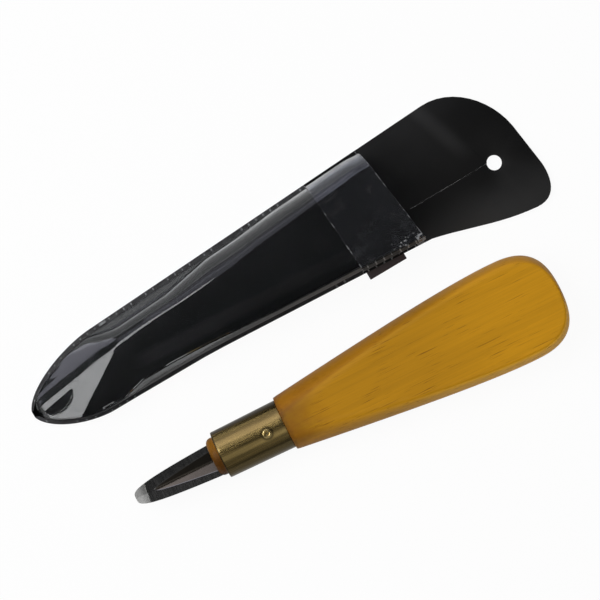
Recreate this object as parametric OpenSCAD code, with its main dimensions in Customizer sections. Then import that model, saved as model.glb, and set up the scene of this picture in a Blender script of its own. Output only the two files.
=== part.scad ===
// Electrician's cable knife with a wooden handle, lying beside its vinyl sheath.
// X runs along the sheath from its tip to its tab and Z is up.
// The origin is the centre of the hanging hole, on the underside of the back sheet.

/* [Blade] */
// Length of steel in front of the wooden nose
blade_l = 30; // [24:0.1:40]
// Width of the blade where it meets the nose
blade_w = 11.7; // [9:0.1:13]
// How blunt the blade's outline is: lower is blunter
blade_power = 0.27; // [0.2:0.01:0.5]
// Distance of the blade's middle from the knife's axis, sideways
blade_side = 0.7; // [0:0.1:1.2]
// Height of the blade's flat rim above the knife's axis
rim_z = 2.2; // [1.6:0.1:2.6]
// Thickness of the blade at the nose
blade_root_t = 5; // [4:0.1:6]
// Thickness of the blade at its tip, before the bevel is ground
blade_tip_t = 1.5; // [1.3:0.1:2]
// Radius of the blade's round back
blade_back_r = 7; // [6.6:0.1:12]
// Radius of the hollow that runs along the blade
hollow_r = 5; // [4:0.1:8]
// Depth of the hollow at the nose
hollow_depth = 1.6; // [0.8:0.1:2.2]
// Distance from the tip to where the hollow runs out
hollow_start = 7.4; // [5:0.1:12]
// Length of the bevel at the tip, on the blade's middle
bevel_l = 4.6; // [3:0.1:6]
// Slope of that bevel, in degrees
bevel_slope = 12; // [8:1:14]
// How far the bevel's inner edge is turned, in degrees
bevel_turn = -8; // [-15:1:15]
// Diameter of the round tang
tang_d = 5; // [4:0.1:7]
// Length of the tang behind the nose's front
tang_l = 56; // [40:1:90]

/* [Handle] */
// Length of the grip behind the ferrule
grip_l = 106.5; // [90:0.5:130]
// Diameter of the grip at its shoulder
shoulder_d = 19.8; // [18.8:0.1:26]
// Flare of the grip's side at the shoulder, in degrees
grip_flare = 7.2; // [5:0.1:9]
// Largest diameter of the turned grip
grip_d = 37; // [32:0.1:46]
// Distance from the shoulder to the largest diameter
grip_widest = 87.5; // [70:0.5:88]
// How square the butt's outline is: 2 is an ellipse
butt_power = 2.8; // [2:0.1:4]
// Thickness of the grip between its two flats
grip_t = 18.8; // [17:0.1:24]
// Length of the wooden nose in front of the ferrule
nose_l = 3; // [2:0.1:6]
// Rounding of the nose's front edge
nose_round = 2; // [0.5:0.1:2]
// Diameter of the nose in front of the ferrule
nose_d = 14; // [10:0.1:15]

/* [Ferrule] */
// Length of the brass ferrule
ferrule_l = 25; // [18:0.1:32]
// Diameter of the ferrule at its front
ferrule_front_d = 17.2; // [16:0.1:18]
// Diameter of the ferrule at the grip's shoulder
ferrule_back_d = 17.9; // [16.5:0.1:18.6]
// Wall of the ferrule
ferrule_wall = 1; // [0.6:0.1:1.4]
// Bevel on the ferrule's outer edges
ferrule_edge = 0.3; // [0.1:0.05:0.5]
// Diameter of the cross pin
pin_d = 2.4; // [1.6:0.1:3]
// Diameter of the pin's rolled ends
pin_head_d = 3.2; // [3.1:0.1:4]
// Height of the pin's rolled ends
pin_head_h = 0.4; // [0.2:0.1:0.8]
// Diameter of the hollow in each end of the pin
pin_hollow_d = 1.4; // [0.8:0.1:1.5]
// Depth of the hollow in each end of the pin
pin_hollow_depth = 2; // [1:0.1:4]
// Distance of the pin from the grip's shoulder
pin_back = 6.9; // [4:0.1:14]

/* [Sheath pocket] */
// Distance from the sheath's tip to the pocket's mouth
mouth_x = 147; // [120:0.5:180]
// Slant of the mouth's edge, in degrees
mouth_slant = 6.9; // [0:0.1:10]
// Length over which the upper edge rounds to the tip
tip_l = 32; // [28:0.5:50]
// How pointed that rounding is: lower is more pointed
tip_power = 1.75; // [1.6:0.05:2.4]
// Length over which the lower edge rounds to the tip
lower_tip_l = 25.5; // [20:0.5:50]
// How pointed the lower rounding is
lower_tip_power = 1.7; // [1.6:0.05:2.4]
// Distance from the axis to the upper edge, behind the tip
upper_w = 15.75; // [14:0.05:22]
// Distance from the axis to the lower edge, behind the tip
lower_w = 13.25; // [12:0.05:20]
// Taper of the upper edge, in degrees
edge_taper = 3.15; // [0:0.05:5]
// Taper of the lower edge behind its bend, in degrees
lower_taper = 3.4; // [0:0.05:5]
// Distance from the tip to where the lower edge starts to taper
lower_bend_x = 62; // [48:1:90]
// Width of the welded seam along the upper edge
seam_w = 2; // [1.6:0.1:3]
// Width of the welded seam along the lower edge
lower_seam_w = 1.4; // [1.2:0.1:3]
// Thickness of the clear film
film_t = 0.5; // [0.3:0.05:0.8]
// Height of the room in the pocket at the mouth
mouth_h = 21.5; // [19:0.1:28]
// Distance from the tip to the knee between the tip's facet and the film's flat, on the axis
knee_x = 30; // [24:0.5:50]
// Turn of the knee's line, which runs slantwise across the film, in degrees
knee_turn = 58; // [0:1:62]
// Height of the room in the pocket at the knee, on the axis
knee_h = 9.4; // [6:0.1:14]
// Fall of the tip's facet in front of the knee, as a slope
facet_fall = 0.17; // [0.05:0.01:0.24]
// Lean of the flat towards its lower side at the knee, as a slope
flat_lean = 0.07; // [0:0.01:0.15]
// Place of the film's crest between the lower seam, 0, and the upper one, 1, at the tip
crest_tip = 0.62; // [0.4:0.01:0.7]
// Place of the crest at the mouth
crest_mouth = 0.86; // [0.6:0.01:0.88]
// Slope of the film's upper side beside its crest
upper_slope = 0.5; // [0.2:0.05:0.8]
// Width of the low skirt between the upper seam and the film's upper side
skirt_w = 3.2; // [1:0.1:4]
// Height of that skirt
skirt_h = 2.2; // [0.5:0.1:3]
// Width of the film's lower shoulder, above its upright lower side
shoulder_w = 2.4; // [1:0.1:4]
// Slope of that shoulder
shoulder_slope = 1.2; // [0.6:0.1:1.8]
// Length of the film band that doubles the mouth
band_l = 23; // [14:0.5:32]
// Thickness of that band
band_t = 0.5; // [0.3:0.05:0.7]

/* [Sheath back] */
// Thickness of the back sheet
back_t = 1.2; // [0.8:0.1:2]
// Length of the tab behind the mouth
tab_l = 51.8; // [44:0.1:70]
// Distance from the axis to the tab's lowest edge
tab_low = 27.9; // [24:0.1:34]
// Diameter of the hanging hole
hole_d = 5.4; // [4:0.1:8]
// Distance of the hole's centre from the tab's end
hole_in = 14.3; // [10:0.1:18]
// Distance of the hole's centre below the axis
hole_low = 6.8; // [2:0.1:12]
// Length of the slit that runs from the hole towards the pocket
slit_l = 31; // [10:0.5:32]
// Width of the slit
slit_w = 0.4; // [0.2:0.05:0.8]
// Distance of the slit above the hole's centre
slit_side = 1.1; // [0:0.1:1.4]
// Width of the strap across the back
strap_w = 14.8; // [10:0.1:20]
// Distance of the strap from the mouth
strap_in = 6; // [3:0.1:14]
// Length of the strap's end that shows past the lower edge
strap_out = 2.9; // [0:0.1:5]
// Thickness of the strap
strap_t = 1; // [0.6:0.1:1.6]

/* [Layout and fits] */
// Distance of the blade's tip behind the sheath's tip
knife_x = 16.9; // [0:0.1:40]
// Gap between the tab's lowest edge and the grip's widest place
lay_gap = 8.4; // [6:0.1:30]
// Turn of the knife against the sheath, in degrees
knife_turn = 4.74; // [0:0.01:10]
// Clearance of tang, pin, ferrule and band in their seats
fit_gap = 0.05; // [0.02:0.01:0.1]

/* [Hidden] */
$fn = 96;

WOOD = [0.72, 0.53, 0.14];
BRASS = [0.58, 0.51, 0.33];
STEEL = [0.32, 0.33, 0.35];
VINYL = [0.11, 0.11, 0.11];
STRAP = [0.16, 0.15, 0.13];
FILM = [0.78, 0.82, 0.86, 0.35];

// Reach of a cutting tool past the surface that it cuts
over = 1;
// Steps along a blade edge, a curve of the handle and a curve of the sheath
blade_steps = 16;
curve_steps = 12;
// Half the length over which the lower edge bends into its taper
bend_half = 12;
// Rounding between the film's facet and its flat
knee_blend = 0.3;
// Slope of the film's first climb from the tip's seam
tip_climb = 1.3;
// Place at which the flat's lean has run out
lean_end_x = 90;
// Start of the outline, where the tip is already blunt
tip_x0 = 0.25;
// Distance from the tip's seam to where the film starts to climb
film_lead = 0.5;
// Lean of the film's lower side over its whole height
side_lean = 0.2;
// How round the film's upper side is along its foot: higher is squarer, and lower is steeper
upper_round = 2.6;
upper_foot = 0.3;
// Most of the film's height that its skirt or its lower shoulder takes
form_most = 0.5;
// Least share of their width that the skirt and the shoulder keep where they run out
form_least = 0.2;
// Places along the sheath between which the skirt widens, narrows and runs out, and the share that it narrows by
skirt_grows = [27, 42];
skirt_narrows = [62, 80];
skirt_ends = [92, 112];
skirt_loss = 0.75;
// Places between which the lower shoulder widens and narrows, and the share that it narrows by
shoulder_grows = [28, 44];
shoulder_narrows = [62, 92];
shoulder_loss = 0.55;
// How round the lower shoulder is: 1 is a straight slope
shoulder_power = 1.15;
// Rows along the film and the band, and steps over the film's upper side, lower shoulder and flat
film_rows = 36;
band_rows = 8;
upper_steps = 9;
shoulder_steps = 3;
flat_steps = 6;
// How much the rows crowd towards the film's tip, and the steps towards its upper foot
crowd = 1.4;

// Places along the knife's axis, from the blade's tip
nose_x = blade_l;
ferrule_x = nose_x + nose_l;
shoulder_x = ferrule_x + ferrule_l;
pin_x = shoulder_x - pin_back;
// Radii of the tenon inside the ferrule, at its front and back
tenon_front_r = ferrule_front_d / 2 - ferrule_wall - fit_gap;
tenon_back_r = ferrule_back_d / 2 - ferrule_wall - fit_gap;
// Radius of the ferrule's outside at the pin
pin_seat_r = ferrule_back_d / 2 - (ferrule_back_d - ferrule_front_d) / 2 * pin_back / ferrule_l;

// Places on the sheath, from its tip
tab_end_x = mouth_x + tab_l;
hole_x = tab_end_x - hole_in;
strap_x = mouth_x - strap_in - strap_w;
film_x0 = seam_w + film_lead;

// Place of the knife beside the sheath
knife_y = -tab_low - lay_gap - grip_d / 2 + (shoulder_x + grip_widest) * sin(knife_turn);
knife_z = max(grip_t, ferrule_back_d) / 2 - strap_t;

// Point at t on a cubic curve through the four points p
function curve(p, t) =
    pow(1 - t, 3) * p[0] + 3 * t * pow(1 - t, 2) * p[1] + 3 * t * t * (1 - t) * p[2] + pow(t, 3) * p[3];

// Points along a cubic curve, without its first one
function curve_points(p) = [for (i = [1 : curve_steps]) curve(p, i / curve_steps)];

// The smaller of two values, with a soft change from one to the other
function soft_min(a, b, k) =
    let (h = min(1, max(0, 0.5 + (b - a) / (2 * k)))) b + (a - b) * h - k * h * (1 - h);

// Half the blade's width at a distance x from its tip
function blade_half(x) = blade_w / 2 * pow(x / blade_l, blade_power);

// The blade's outline: its steps are short at the tip, where it turns most
function blade_outline() =
    let (xs = [for (i = [0 : blade_steps]) blade_l * pow(i / blade_steps, 2)])
    concat([for (x = xs) [x, blade_half(x)]], [for (i = [blade_steps : -1 : 1]) [xs[i], -blade_half(xs[i])]]);

// The grip's turned profile as radius and place: a long swell, then the rounded butt
function grip_profile() =
    let (
        swell = [
            [shoulder_d / 2, 0],
            [shoulder_d / 2 + grip_widest / 2 * tan(grip_flare), grip_widest / 2],
            [grip_d / 2, grip_widest * 0.82],
            [grip_d / 2, grip_widest]
        ],
        butt = [for (i = [1 : curve_steps]) let (a = 90 * i / curve_steps) [
            grip_d / 2 * pow(max(0, cos(a)), 2 / butt_power),
            grip_widest + (grip_l - grip_widest) * pow(sin(a), 2 / butt_power)
        ]]
    )
    concat([[0, 0], swell[0]], curve_points(swell), butt);

// The tenon's turned profile, from the rounded nose to a root inside the grip
function tenon_profile() =
    let (round_nose = [for (a = [90 : -15 : 0]) [
        nose_d / 2 - nose_round + nose_round * cos(a),
        nose_x + nose_round - nose_round * sin(a)
    ]])
    concat(
        [[0, nose_x]],
        round_nose,
        [[nose_d / 2, ferrule_x], [tenon_front_r, ferrule_x]],
        [[tenon_back_r, shoulder_x], [tenon_back_r, shoulder_x + over]],
        [[0, shoulder_x + over]]
    );

// Share of the full width that a tip rounded over the length l with the power p has at x
function tip_share(x, l, p) = x >= l ? 1 : pow(1 - pow(1 - x / l, p), 1 / p);

// The sheath's upper and lower edge at x
function upper_y(x) = (upper_w + (x - tip_l) * tan(edge_taper)) * tip_share(x, tip_l, tip_power);
function lower_y(x) =
    let (past = x - lower_bend_x, eased = past + bend_half)
    let (bent = eased <= 0 ? 0 : past >= bend_half ? past : eased * eased / (4 * bend_half))
    -(lower_w + bent * tan(lower_taper)) * tip_share(x, lower_tip_l, lower_tip_power);

// The back sheet's outline: upper edge, round the tab, then back along the lower edge
function back_outline() =
    let (
        tip_xs = [for (i = [0 : curve_steps]) tip_x0 + (tip_l - tip_x0) * pow(i / curve_steps, 1.6)],
        bend_xs = [for (i = [curve_steps : -1 : 0]) lower_bend_x + bend_half * (2 * i / curve_steps - 1)],
        corner_x = mouth_x + 0.49 * tab_l,
        ease_x = mouth_x + 0.73 * tab_l,
        corner = [
            [corner_x, upper_y(corner_x)],
            [ease_x, upper_y(ease_x)],
            [mouth_x + 0.925 * tab_l, 0.55 * upper_y(corner_x)],
            [mouth_x + 0.96 * tab_l, 0.04 * upper_y(corner_x)]
        ],
        toe = [
            [tab_end_x, -0.55 * tab_low],
            [tab_end_x + 0.4, -0.77 * tab_low],
            [mouth_x + 0.976 * tab_l, -1.03 * tab_low],
            [mouth_x + 0.82 * tab_l, -tab_low]
        ],
        root_x = mouth_x + 0.1 * tab_l,
        flare = [
            toe[3],
            [mouth_x + 0.54 * tab_l, -0.946 * tab_low],
            [mouth_x + 0.357 * tab_l, lower_y(root_x) - 3],
            [root_x, lower_y(root_x)]
        ]
    )
    concat(
        [for (x = tip_xs) [x, upper_y(x)]],
        [corner[0]],
        curve_points(corner),
        [toe[0]],
        curve_points(toe),
        curve_points(flare),
        [for (x = bend_xs) [x, lower_y(x)]],
        [for (i = [curve_steps : -1 : 0]) [tip_xs[i], lower_y(tip_xs[i])]]
    );

// Share of the way through a span that x has gone, from 0 to 1
function way(x, span) = min(1, max(0, (x - span[0]) / (span[1] - span[0])));

// Height of the room under the film at x and y: a first climb, the tip's facet, then the flat
function pocket_h(x, y) =
    let (
        rise = (mouth_h - knee_h) / (mouth_x - knee_x),
        lean = flat_lean * (1 - way(x, [knee_x, lean_end_x])),
        flat = knee_h + rise * (x - knee_x) + lean * y,
        facet = flat - facet_fall * (knee_x + y * tan(knee_turn) - x)
    )
    max(0, soft_min(soft_min(facet, flat, knee_blend), tip_climb * (x - film_x0), knee_blend));

// Share of its full width that the upper skirt has at x: it is widest in front of the pocket's middle
function skirt_share(x) =
    max(form_least, way(x, skirt_grows) * (1 - skirt_loss * way(x, skirt_narrows)) * (1 - way(x, skirt_ends)));

// Share of its full width that the lower shoulder has at x: it starts behind the knee and narrows to the mouth
function shoulder_share(x) =
    max(form_least, way(x, shoulder_grows) * (1 - shoulder_loss * way(x, shoulder_narrows)));

// Points across the pocket at x, on the surface that lies at grow over the room inside
function film_row(x, grow) =
    let (
        skew = tan(mouth_slant) * pow(x / mouth_x, 4),
        upper_x = x - upper_y(x) * skew,
        lower_x = x - lower_y(x) * skew,
        yu = upper_y(upper_x),
        yl = lower_y(lower_x),
        upper_seam = min(seam_w, 0.35 * (yu - yl)),
        lower_seam = min(lower_seam_w, 0.35 * (yu - yl)),
        room = yu - yl - upper_seam - lower_seam,
        crest = crest_tip + (crest_mouth - crest_tip) * x / mouth_x,
        yc = yl + lower_seam + crest * room,
        hc = pocket_h(x, yc),
        z0 = back_t + grow,
        foot_y = yu - upper_seam + grow,
        skirt_y = foot_y - min(skirt_w, 0.4 * (foot_y - yc)) * skirt_share(x),
        skirt_z = min(skirt_h * skirt_share(x), form_most * hc),
        upper = [for (i = [0 : upper_steps])
            let (t = 1 - pow(i / upper_steps, crowd), out = (skirt_y - yc) * t)
            let (h = max(0, hc - skirt_z - upper_slope * out))
            [yc + out, z0 + skirt_z + h * pow(1 - pow(t, upper_round), upper_foot)]
        ],
        side_y = yl + lower_seam - grow,
        shoulder_y = side_y + min(side_lean, 0.1 * room),
        flat_y = shoulder_y + min(shoulder_w, 0.3 * room) * shoulder_share(x),
        flat = [for (i = [1 : flat_steps])
            let (y = yc + (flat_y - yc) * i / flat_steps)
            [y, z0 + pocket_h(x, y)]
        ],
        shoulder = [for (i = [1 : shoulder_steps])
            let (
                t = i / shoulder_steps,
                y = flat_y + (shoulder_y - flat_y) * t,
                h = pocket_h(x, y),
                drop = min(shoulder_slope * (flat_y - shoulder_y), form_most * h)
            )
            [y, z0 + h - drop * pow(t, shoulder_power)]
        ]
    )
    let (points = concat([[yu, z0], [foot_y, z0]], upper, flat, shoulder, [[side_y, z0], [yl, z0]]))
    [for (p = points) [x - p[0] * skew, p[0], p[1]]];

// A closed skin between the surfaces at inner and outer, over the rows at xs
module film_skin(xs, inner, outer) {
    rows = len(xs);
    across = upper_steps + flat_steps + shoulder_steps + 5;
    top = [for (x = xs) each film_row(x, outer)];
    under = [for (x = xs) each film_row(x, inner)];
    shift = rows * across;
    // Two triangles for the corners a, b, c and d
    function two(a, b, c, d) = [[a, b, c], [a, c, d]];
    faces = concat(
        [for (i = [0 : rows - 2], j = [0 : across - 2]) let (p = i * across + j)
            each two(p, p + across, p + across + 1, p + 1)],
        [for (i = [0 : rows - 2], j = [0 : across - 2]) let (p = shift + i * across + j)
            each two(p, p + 1, p + across + 1, p + across)],
        [for (i = [0 : rows - 2]) let (p = i * across)
            each two(p, p + shift, p + shift + across, p + across)],
        [for (i = [0 : rows - 2]) let (p = i * across + across - 1)
            each two(p, p + across, p + shift + across, p + shift)],
        [for (j = [0 : across - 2]) each two(j, j + 1, j + 1 + shift, j + shift)],
        [for (j = [0 : across - 2]) let (p = (rows - 1) * across + j)
            each two(p, p + shift, p + shift + 1, p + 1)]
    );
    polyhedron(concat(top, under), faces);
}

// Puts the sheath's own frame, at its tip, into the part's frame
module on_sheath() {
    translate([-hole_x, hole_low, 0]) children();
}

// Puts the knife's own frame, at the blade's tip on the axis, into the part's frame
module on_knife() {
    on_sheath() translate([knife_x, knife_y, knife_z]) rotate([0, 0, -knife_turn]) children();
}

// A solid turned about the knife's axis from a profile of radius and place
module turned(profile) {
    rotate([0, 90, 0]) rotate_extrude() polygon(profile);
}

// A rod that runs backwards from place x, height z and sinks by slope degrees
module sinking_rod(x, z, slope, d, l) {
    translate([x, -blade_side, z]) rotate([0, 90 + slope, 0]) translate([0, 0, -over]) cylinder(d = d, h = l);
}

// The cross pin's hole, through everything that it holds together
module pin_hole() {
    translate([pin_x, 0, 0]) cylinder(d = pin_d + 2 * fit_gap, h = 2 * ferrule_back_d, center = true);
}

module blade() {
    back_sink = atan((blade_root_t - blade_tip_t) / blade_l);
    hollow_sink = atan(hollow_depth / (blade_l - hollow_start));
    color(STEEL) on_knife() difference() {
        union() {
            intersection() {
                translate([0, -blade_side, rim_z - 2 * blade_root_t])
                    linear_extrude(2 * blade_root_t) polygon(blade_outline());
                sinking_rod(0, rim_z - blade_tip_t + blade_back_r, back_sink, 2 * blade_back_r, 2 * blade_l);
            }
            translate([nose_x - over, 0, 0]) rotate([0, 90, 0]) cylinder(d = tang_d, h = tang_l + over);
        }
        translate([-over, -blade_w, rim_z]) cube([blade_l + over, 2 * blade_w, tang_d]);
        intersection() {
            sinking_rod(hollow_start, rim_z + hollow_r, hollow_sink, 2 * hollow_r, 2 * blade_l);
            translate([0, -blade_w, -blade_w]) cube([blade_l, 2 * blade_w, 2 * blade_w]);
        }
        translate([bevel_l, -blade_side, rim_z]) rotate([0, -bevel_slope, bevel_turn])
            translate([-3 * bevel_l, -blade_w, 0]) cube([3 * bevel_l, 2 * blade_w, blade_w]);
        pin_hole();
    }
}

module handle() {
    color(WOOD) on_knife() difference() {
        union() {
            intersection() {
                translate([shoulder_x, 0, 0]) turned(grip_profile());
                translate([shoulder_x, -grip_d, -grip_t / 2]) cube([grip_l, 2 * grip_d, grip_t]);
            }
            turned(tenon_profile());
        }
        translate([nose_x - over, 0, 0]) rotate([0, 90, 0])
            cylinder(d = tang_d + 2 * fit_gap, h = tang_l + over + fit_gap);
        pin_hole();
    }
}

module ferrule() {
    front_r = ferrule_front_d / 2;
    back_r = ferrule_back_d / 2;
    color(BRASS) on_knife() difference() {
        turned([
            [tenon_front_r + fit_gap, ferrule_x],
            [front_r - ferrule_edge, ferrule_x],
            [front_r, ferrule_x + ferrule_edge],
            [back_r, shoulder_x - ferrule_edge],
            [back_r - ferrule_edge, shoulder_x],
            [tenon_back_r + fit_gap, shoulder_x]
        ]);
        pin_hole();
    }
}

module ferrule_pin() {
    reach = pin_seat_r + fit_gap;
    color(BRASS) on_knife() translate([pin_x, 0, 0]) difference() {
        union() {
            cylinder(d = pin_d, h = 2 * reach + pin_head_h, center = true);
            for (side = [-1, 1])
                translate([0, 0, side * (reach + pin_head_h / 2)])
                    cylinder(d = pin_head_d, h = pin_head_h, center = true);
        }
        for (side = [-1, 1])
            translate([0, 0, side * (reach + pin_head_h)])
                cylinder(d = pin_hollow_d, h = 2 * pin_hollow_depth, center = true);
    }
}

module back_panel() {
    color(VINYL) on_sheath() linear_extrude(back_t) difference() {
        polygon(back_outline());
        translate([hole_x, -hole_low]) circle(d = hole_d);
        translate([hole_x - hole_d / 2 - slit_l, slit_side - hole_low - slit_w / 2])
            square([slit_l + hole_d / 2, slit_w]);
    }
}

module front_film() {
    xs = [for (i = [0 : film_rows]) tip_x0 + (mouth_x - tip_x0) * pow(i / film_rows, crowd)];
    color(FILM) on_sheath() film_skin(xs, 0, film_t);
}

module mouth_band() {
    xs = [for (i = [0 : band_rows]) mouth_x - band_l * (1 - i / band_rows)];
    seat = film_t + fit_gap;
    color(FILM) on_sheath() film_skin(xs, seat, seat + band_t);
}

module back_strap() {
    strap_low = lower_y(strap_x) - strap_out;
    strap_high = upper_y(strap_x) - seam_w;
    color(STRAP) on_sheath() translate([strap_x, strap_low, -strap_t])
        cube([strap_w, strap_high - strap_low, strap_t]);
}

blade();
handle();
ferrule();
ferrule_pin();
back_panel();
front_film();
mouth_band();
back_strap();
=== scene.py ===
"""Looks of an electrician's cable knife and its vinyl sheath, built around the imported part.

Lengths are in metres. A piece of the knife is shaped in the knife's own frame, which starts at the
blade's tip and runs back along +X. A piece of the sheath is shaped in the sheath's own frame, which
starts at the sheath's tip. The materials read the same two frames in millimetres.
"""

import math
from collections import namedtuple

import bmesh
import bpy
from bpy.props import FloatProperty, FloatVectorProperty, PointerProperty
from mathutils import Matrix, Vector, noise


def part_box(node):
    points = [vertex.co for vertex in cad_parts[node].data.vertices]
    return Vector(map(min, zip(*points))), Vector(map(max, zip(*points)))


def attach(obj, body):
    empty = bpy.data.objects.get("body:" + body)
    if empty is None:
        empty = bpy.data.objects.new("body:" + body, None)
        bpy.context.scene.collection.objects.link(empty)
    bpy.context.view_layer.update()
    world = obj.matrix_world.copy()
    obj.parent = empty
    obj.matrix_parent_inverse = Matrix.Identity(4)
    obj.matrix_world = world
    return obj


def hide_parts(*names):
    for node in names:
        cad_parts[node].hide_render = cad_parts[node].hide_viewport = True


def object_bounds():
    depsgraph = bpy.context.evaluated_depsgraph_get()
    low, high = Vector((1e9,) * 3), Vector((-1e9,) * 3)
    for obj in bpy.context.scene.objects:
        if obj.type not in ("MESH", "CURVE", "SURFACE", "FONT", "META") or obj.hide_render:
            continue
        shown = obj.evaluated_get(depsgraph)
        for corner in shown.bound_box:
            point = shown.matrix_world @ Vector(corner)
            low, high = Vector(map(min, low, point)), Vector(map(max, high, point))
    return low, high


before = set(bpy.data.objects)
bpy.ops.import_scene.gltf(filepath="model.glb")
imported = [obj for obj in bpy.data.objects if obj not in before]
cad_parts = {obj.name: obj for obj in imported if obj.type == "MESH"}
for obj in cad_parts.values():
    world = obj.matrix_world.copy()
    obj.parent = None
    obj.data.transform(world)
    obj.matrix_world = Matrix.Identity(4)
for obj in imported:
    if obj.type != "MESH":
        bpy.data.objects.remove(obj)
cad_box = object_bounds()

bl_info = {
    "name": "Cable knife and sheath",
    "version": (1, 0, 0),
    "blender": (4, 5, 0),
    "location": "3D View > Sidebar > Cable knife",
    "description": "Builds the finished look of a cable knife and its sheath over the packed part",
    "category": "Object",
}

MM = 0.001

# Points that are merged, places that count as level, and the least distance from the blade's tip
MERGE = 0.002 * MM
NEAR = 0.01 * MM
TINY = 1e-9

# Width of the camera's sensor in millimetres
SENSOR_MM = 36

# Usual range of a noise texture's value
NOISE_LOW, NOISE_HIGH = 0.3, 0.7

# Materials of the film, by their place in its list
CLEAR, WHITE, WELD_AND_PAINTED_REFLECTION = range(3)

# How fast the slant of the film's rows grows towards the mouth
SLANT_POWER = 4

# Largest shares that parts of the film's section take where the pocket is narrow or low
SEAM_MOST = 0.35
SKIRT_MOST = 0.4
SHOULDER_MOST = 0.3
SIDE_MOST = 0.1
DROP_MOST = 0.5

# Columns of faces across each part of the film's section
Columns = namedtuple("Columns", "seam skirt upper flat shoulder")
FILM_COLUMNS = Columns(seam=5, skirt=8, upper=20, flat=60, shoulder=8)
BAND_COLUMNS = Columns(seam=5, skirt=4, upper=18, flat=60, shoulder=8)

# Turn is counted from the picture's right side and lean from straight above, in degrees
Lamp = namedtuple("Lamp", "name turn lean distance size level tint in_gloss", defaults=[True])
LAMPS = (
    Lamp("key_lamp", turn=187, lean=45, distance=1.1, size=(0.61, 0.43), level=4.6, tint="key"),
    Lamp("crest_lamp", turn=158, lean=36, distance=1.0, size=(0.24, 0.42), level=4.8, tint="key"),
    Lamp("side_lamp", turn=103, lean=46, distance=1.0, size=(0.62, 0.5), level=0.6, tint="fill"),
    Lamp("band_lamp", turn=137, lean=52, distance=1.0, size=(0.3, 0.6), level=0.58, tint="fill"),
    Lamp("back_lamp", turn=112, lean=70, distance=1.0, size=(0.95, 0.38), level=0.46, tint="fill"),
    Lamp("tip_lamp", turn=154, lean=82, distance=0.95, size=(0.32, 0.26), level=1.4, tint="fill"),
    Lamp("front_lamp", turn=-64, lean=24, distance=1.0, size=(0.9, 0.42), level=0.35, tint="key"),
    Lamp(
        "top_lamp", turn=150, lean=12, distance=1.2, size=(1.0, 1.0), level=2.1, tint="key", in_gloss=False
    ),
)


def length(name, description, default):
    """A length, with its default in millimetres."""
    default *= MM
    return FloatProperty(name=name, description=description, default=default, unit="LENGTH", precision=5)


def stretch(name, description, start, end):
    """Two distances with something between them, with their defaults in millimetres."""
    ends = (start * MM, end * MM)
    return FloatVectorProperty(
        name=name, description=description, default=ends, size=2, unit="LENGTH", precision=5
    )


def angle(name, description, default):
    """An angle, with its default in degrees."""
    default = math.radians(default)
    return FloatProperty(name=name, description=description, default=default, subtype="ANGLE")


def number(name, description, default):
    """A plain number, such as a power or a share."""
    return FloatProperty(name=name, description=description, default=default)


def linear(*screen):
    """A colour that is written in screen values from 0 to 255, as linear light."""
    shares = [value / 255 for value in screen]
    return tuple(((c + 0.055) / 1.055) ** 2.4 if c > 0.04 else c / 12.92 for c in shares)


def colour(name, description, red, green, blue):
    """A colour, with its default in screen values from 0 to 255."""
    default = linear(red, green, blue)
    return FloatVectorProperty(
        name=name, description=description, default=default, subtype="COLOR", min=0, max=1
    )


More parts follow.
